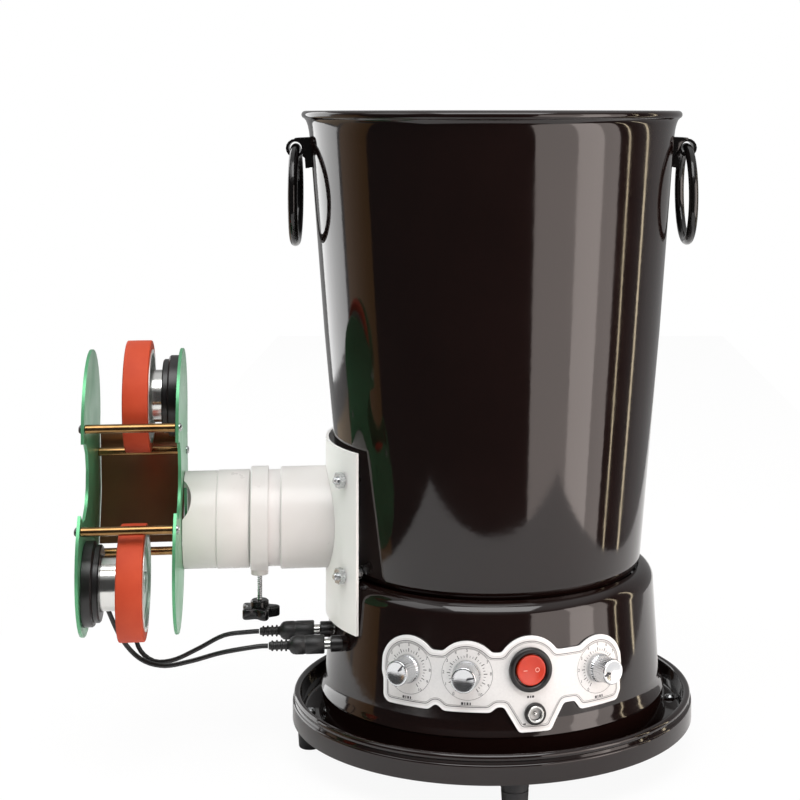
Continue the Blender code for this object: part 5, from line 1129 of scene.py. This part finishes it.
for side, across in SOCKETS.items():
    face = math.sqrt(drum_radius(SOCKET_HEIGHT) ** 2 - across ** 2) + 0.0045
    place = MACHINE @ shift(0.0, across, SOCKET_HEIGHT) @ spin(-90.0, "Y")
    outline = lifted(face, [
        (0.0, -0.0083), (SOCKET_BORE, -0.0083), (SOCKET_BORE, -0.0004), (0.0031, 0.0), (0.0036, 0.0),
        (SOCKET_RADIUS, -0.0004), (SOCKET_RADIUS, -0.02), (0.0, -0.02)])
    lathe_piece("lead_socket_body_" + side, outline, place, 40, "base", "black_plastic", nylon,
                "lead_socket_" + side)
    start = face + PLUG_GAP
    end = start + PLUG_LENGTH
    boot_end = end + BOOT_LENGTH
    outline = [(0.0, boot_end), (0.0015, boot_end), (0.0019, boot_end - 0.0004)]
    for i in range(RIBS):
        rib = boot_end - 0.0012 - RIB_PITCH * i
        crest = RIB_CREST + 0.0001 * i
        outline += [(RIB_ROOT, rib), (crest, rib - 0.0003), (crest, rib - 0.001), (RIB_ROOT, rib - 0.0013)]
    outline += lifted(end, [(0.0024, 0.0006), (0.0036, -0.0001), (0.0044, -0.0012), (PLUG_RADIUS, -0.0028)])
    outline += lifted(start, [
        (PLUG_RADIUS, 0.0105), (PLUG_GROOVE, 0.0102), (PLUG_GROOVE, 0.0092), (PLUG_RADIUS, 0.0089),
        (PLUG_RADIUS, 0.0005), (0.0043, 0.0), (0.0, 0.0)])
    plug = lathe_piece(
        "lead_plug_body_" + side, outline, place, 48, "base", "black_plastic", soft_pvc, "lead_plug_" + side)
    outline = [
        (0.0, start + 0.0004), (BARREL_RADIUS, start + 0.0004), (BARREL_RADIUS, face - 0.0074),
        (0.0022, face - 0.008), (0.0, face - 0.008)]
    barrel = lathe_piece("plug_barrel_" + side, outline, place, 36, "base", "nickel_plate", nickel)


# The two motor leads: soft black PVC two-core cable, from each motor's holder down
# behind the wheels and back to its plug on the drum.
LEAD_DIAMETER = 0.0024
LEAD_STEP = 0.003
CURVE_STEPS = 40

# Cable PVC: black, satin, with a slight drag from the extruder.
cable = grained("soft_pvc_cable", "111112", 0.42, 900.0, skin=(0.15, 0.0002))


def in_head(along, forward, up):
    """A point given in the tilted head: out along the tube, forward and up from its axis."""
    return tuple(HEAD @ Vector((-along, -forward, up)))


def smooth_route(points):
    """Points at even steps on a smooth curve through the route's own points."""
    anchors = [Vector(point) for point in points]
    anchors = [2.0 * anchors[0] - anchors[1]] + anchors + [2.0 * anchors[-1] - anchors[-2]]
    fine = []
    for a, b, c, d in zip(anchors, anchors[1:], anchors[2:], anchors[3:]):
        for i in range(CURVE_STEPS):
            t = i / CURVE_STEPS
            fine.append(0.5 * (2.0 * b + (c - a) * t + (2.0 * a - 5.0 * b + 4.0 * c - d) * t ** 2
                               + (3.0 * b - a - 3.0 * c + d) * t ** 3))
    return at_even_steps(fine + [anchors[-2]], LEAD_STEP)


def motor_lead(which, route):
    """One lead as a round tube from the head at one end to the drum at the other, fixed in the head's
    present pose.
    """
    points, length = smooth_route(route)
    name = which + "_motor_lead"
    curve = settings_of(
        bpy.data.curves.new(name, "CURVE"), dimensions="3D", bevel_depth=0.5 * LEAD_DIAMETER,
        bevel_resolution=4, use_fill_caps=True)
    spline = curve.splines.new("POLY")
    spline.points.add(len(points) - 1)
    for spot, point in zip(spline.points, points):
        spot.co = (point.x, point.y, point.z, 1.0)
    lead = bpy.data.objects.new(name, curve)
    bpy.context.scene.collection.objects.link(lead)
    pick(lead)
    bpy.ops.object.convert(target="MESH")
    lead = bpy.context.object
    bpy.ops.object.shade_smooth_by_angle(angle=SMOOTH_ANGLE)
    lead.data.materials.append(cable)
    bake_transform(lead)
    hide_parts("motor_lead_" + which)


def from_axis(*spots):
    """Points given by their way out to the left from the machine's axis, forward and up."""
    return [(AXIS_X - out, y, z) for out, y, z in spots]


LOWER_ROUTE = [in_head(0.201538, 0.0132, -0.0342), in_head(0.201538, 0.0082, -0.0342)]
LOWER_ROUTE += from_axis(
    (0.1985, -0.01, 0.079), (0.1915, -0.007, 0.062), (0.182, -0.008, 0.0515), (0.17, -0.013, 0.049),
    (0.156, -0.02, 0.053), (0.14, -0.027, 0.059), (0.122799, SOCKETS["front"], SOCKET_HEIGHT - 0.0002),
    (0.116799, SOCKETS["front"], SOCKET_HEIGHT))
UPPER_ROUTE = [
    in_head(0.165538, 0.0132, 0.0578), in_head(0.165538, 0.0082, 0.0578), in_head(0.1675, -0.004, 0.056),
    in_head(0.171, -0.023, 0.042), in_head(0.177, -0.033, 0.018), in_head(0.182, -0.033, -0.008)]
UPPER_ROUTE += from_axis(
    (0.186, 0.016, 0.075), (0.185, 0.006, 0.056), (0.177, 0.0000, 0.048), (0.166, -0.003, 0.0485),
    (0.153, -0.003, 0.054), (0.14, -0.0035, 0.0605), (0.127741, SOCKETS["rear"], SOCKET_HEIGHT - 0.0002),
    (0.121741, SOCKETS["rear"], SOCKET_HEIGHT))
motor_lead("lower", LOWER_ROUTE)
motor_lead("upper", UPPER_ROUTE)


# The ball feed in the bucket's bottom: a moulded white rotor with five paddles on the
# steel shaft of a gear motor under the deck, held by a black cap.
# ABS: an ivory white, satin, scuffed by the balls.
rotor_abs = grained("moulded_white_abs", "E4E2DC", 0.42, 90.0, 5.0, tones=("DAD7CF", "ECEAE5"))
dress(rotor_abs, "feed_rotor")
dress(nylon, "rotor_cap")
dress(zinc, "rotor_shaft", "feed_gearmotor")


# The control board inside the drum: glass epoxy under green solder mask, screwed
# behind the controls. The mask shows the weave of the glass.
board_green = start_material("green_solder_mask", "1F5A34", 0.35)
board_tree = board_green.node_tree
board_place = add_node(board_tree, "ShaderNodeTexCoord").outputs["Object"]
board_weave = add_node(board_tree, "ShaderNodeTexVoronoi", {"Vector": board_place, "Scale": 500.0})
mix_tones(board_green, board_weave.outputs["Distance"], "1A4E2C", "2C6E42")
dress(board_green, "circuit_board")

bpy.context.scene.view_settings.view_transform = "Standard"
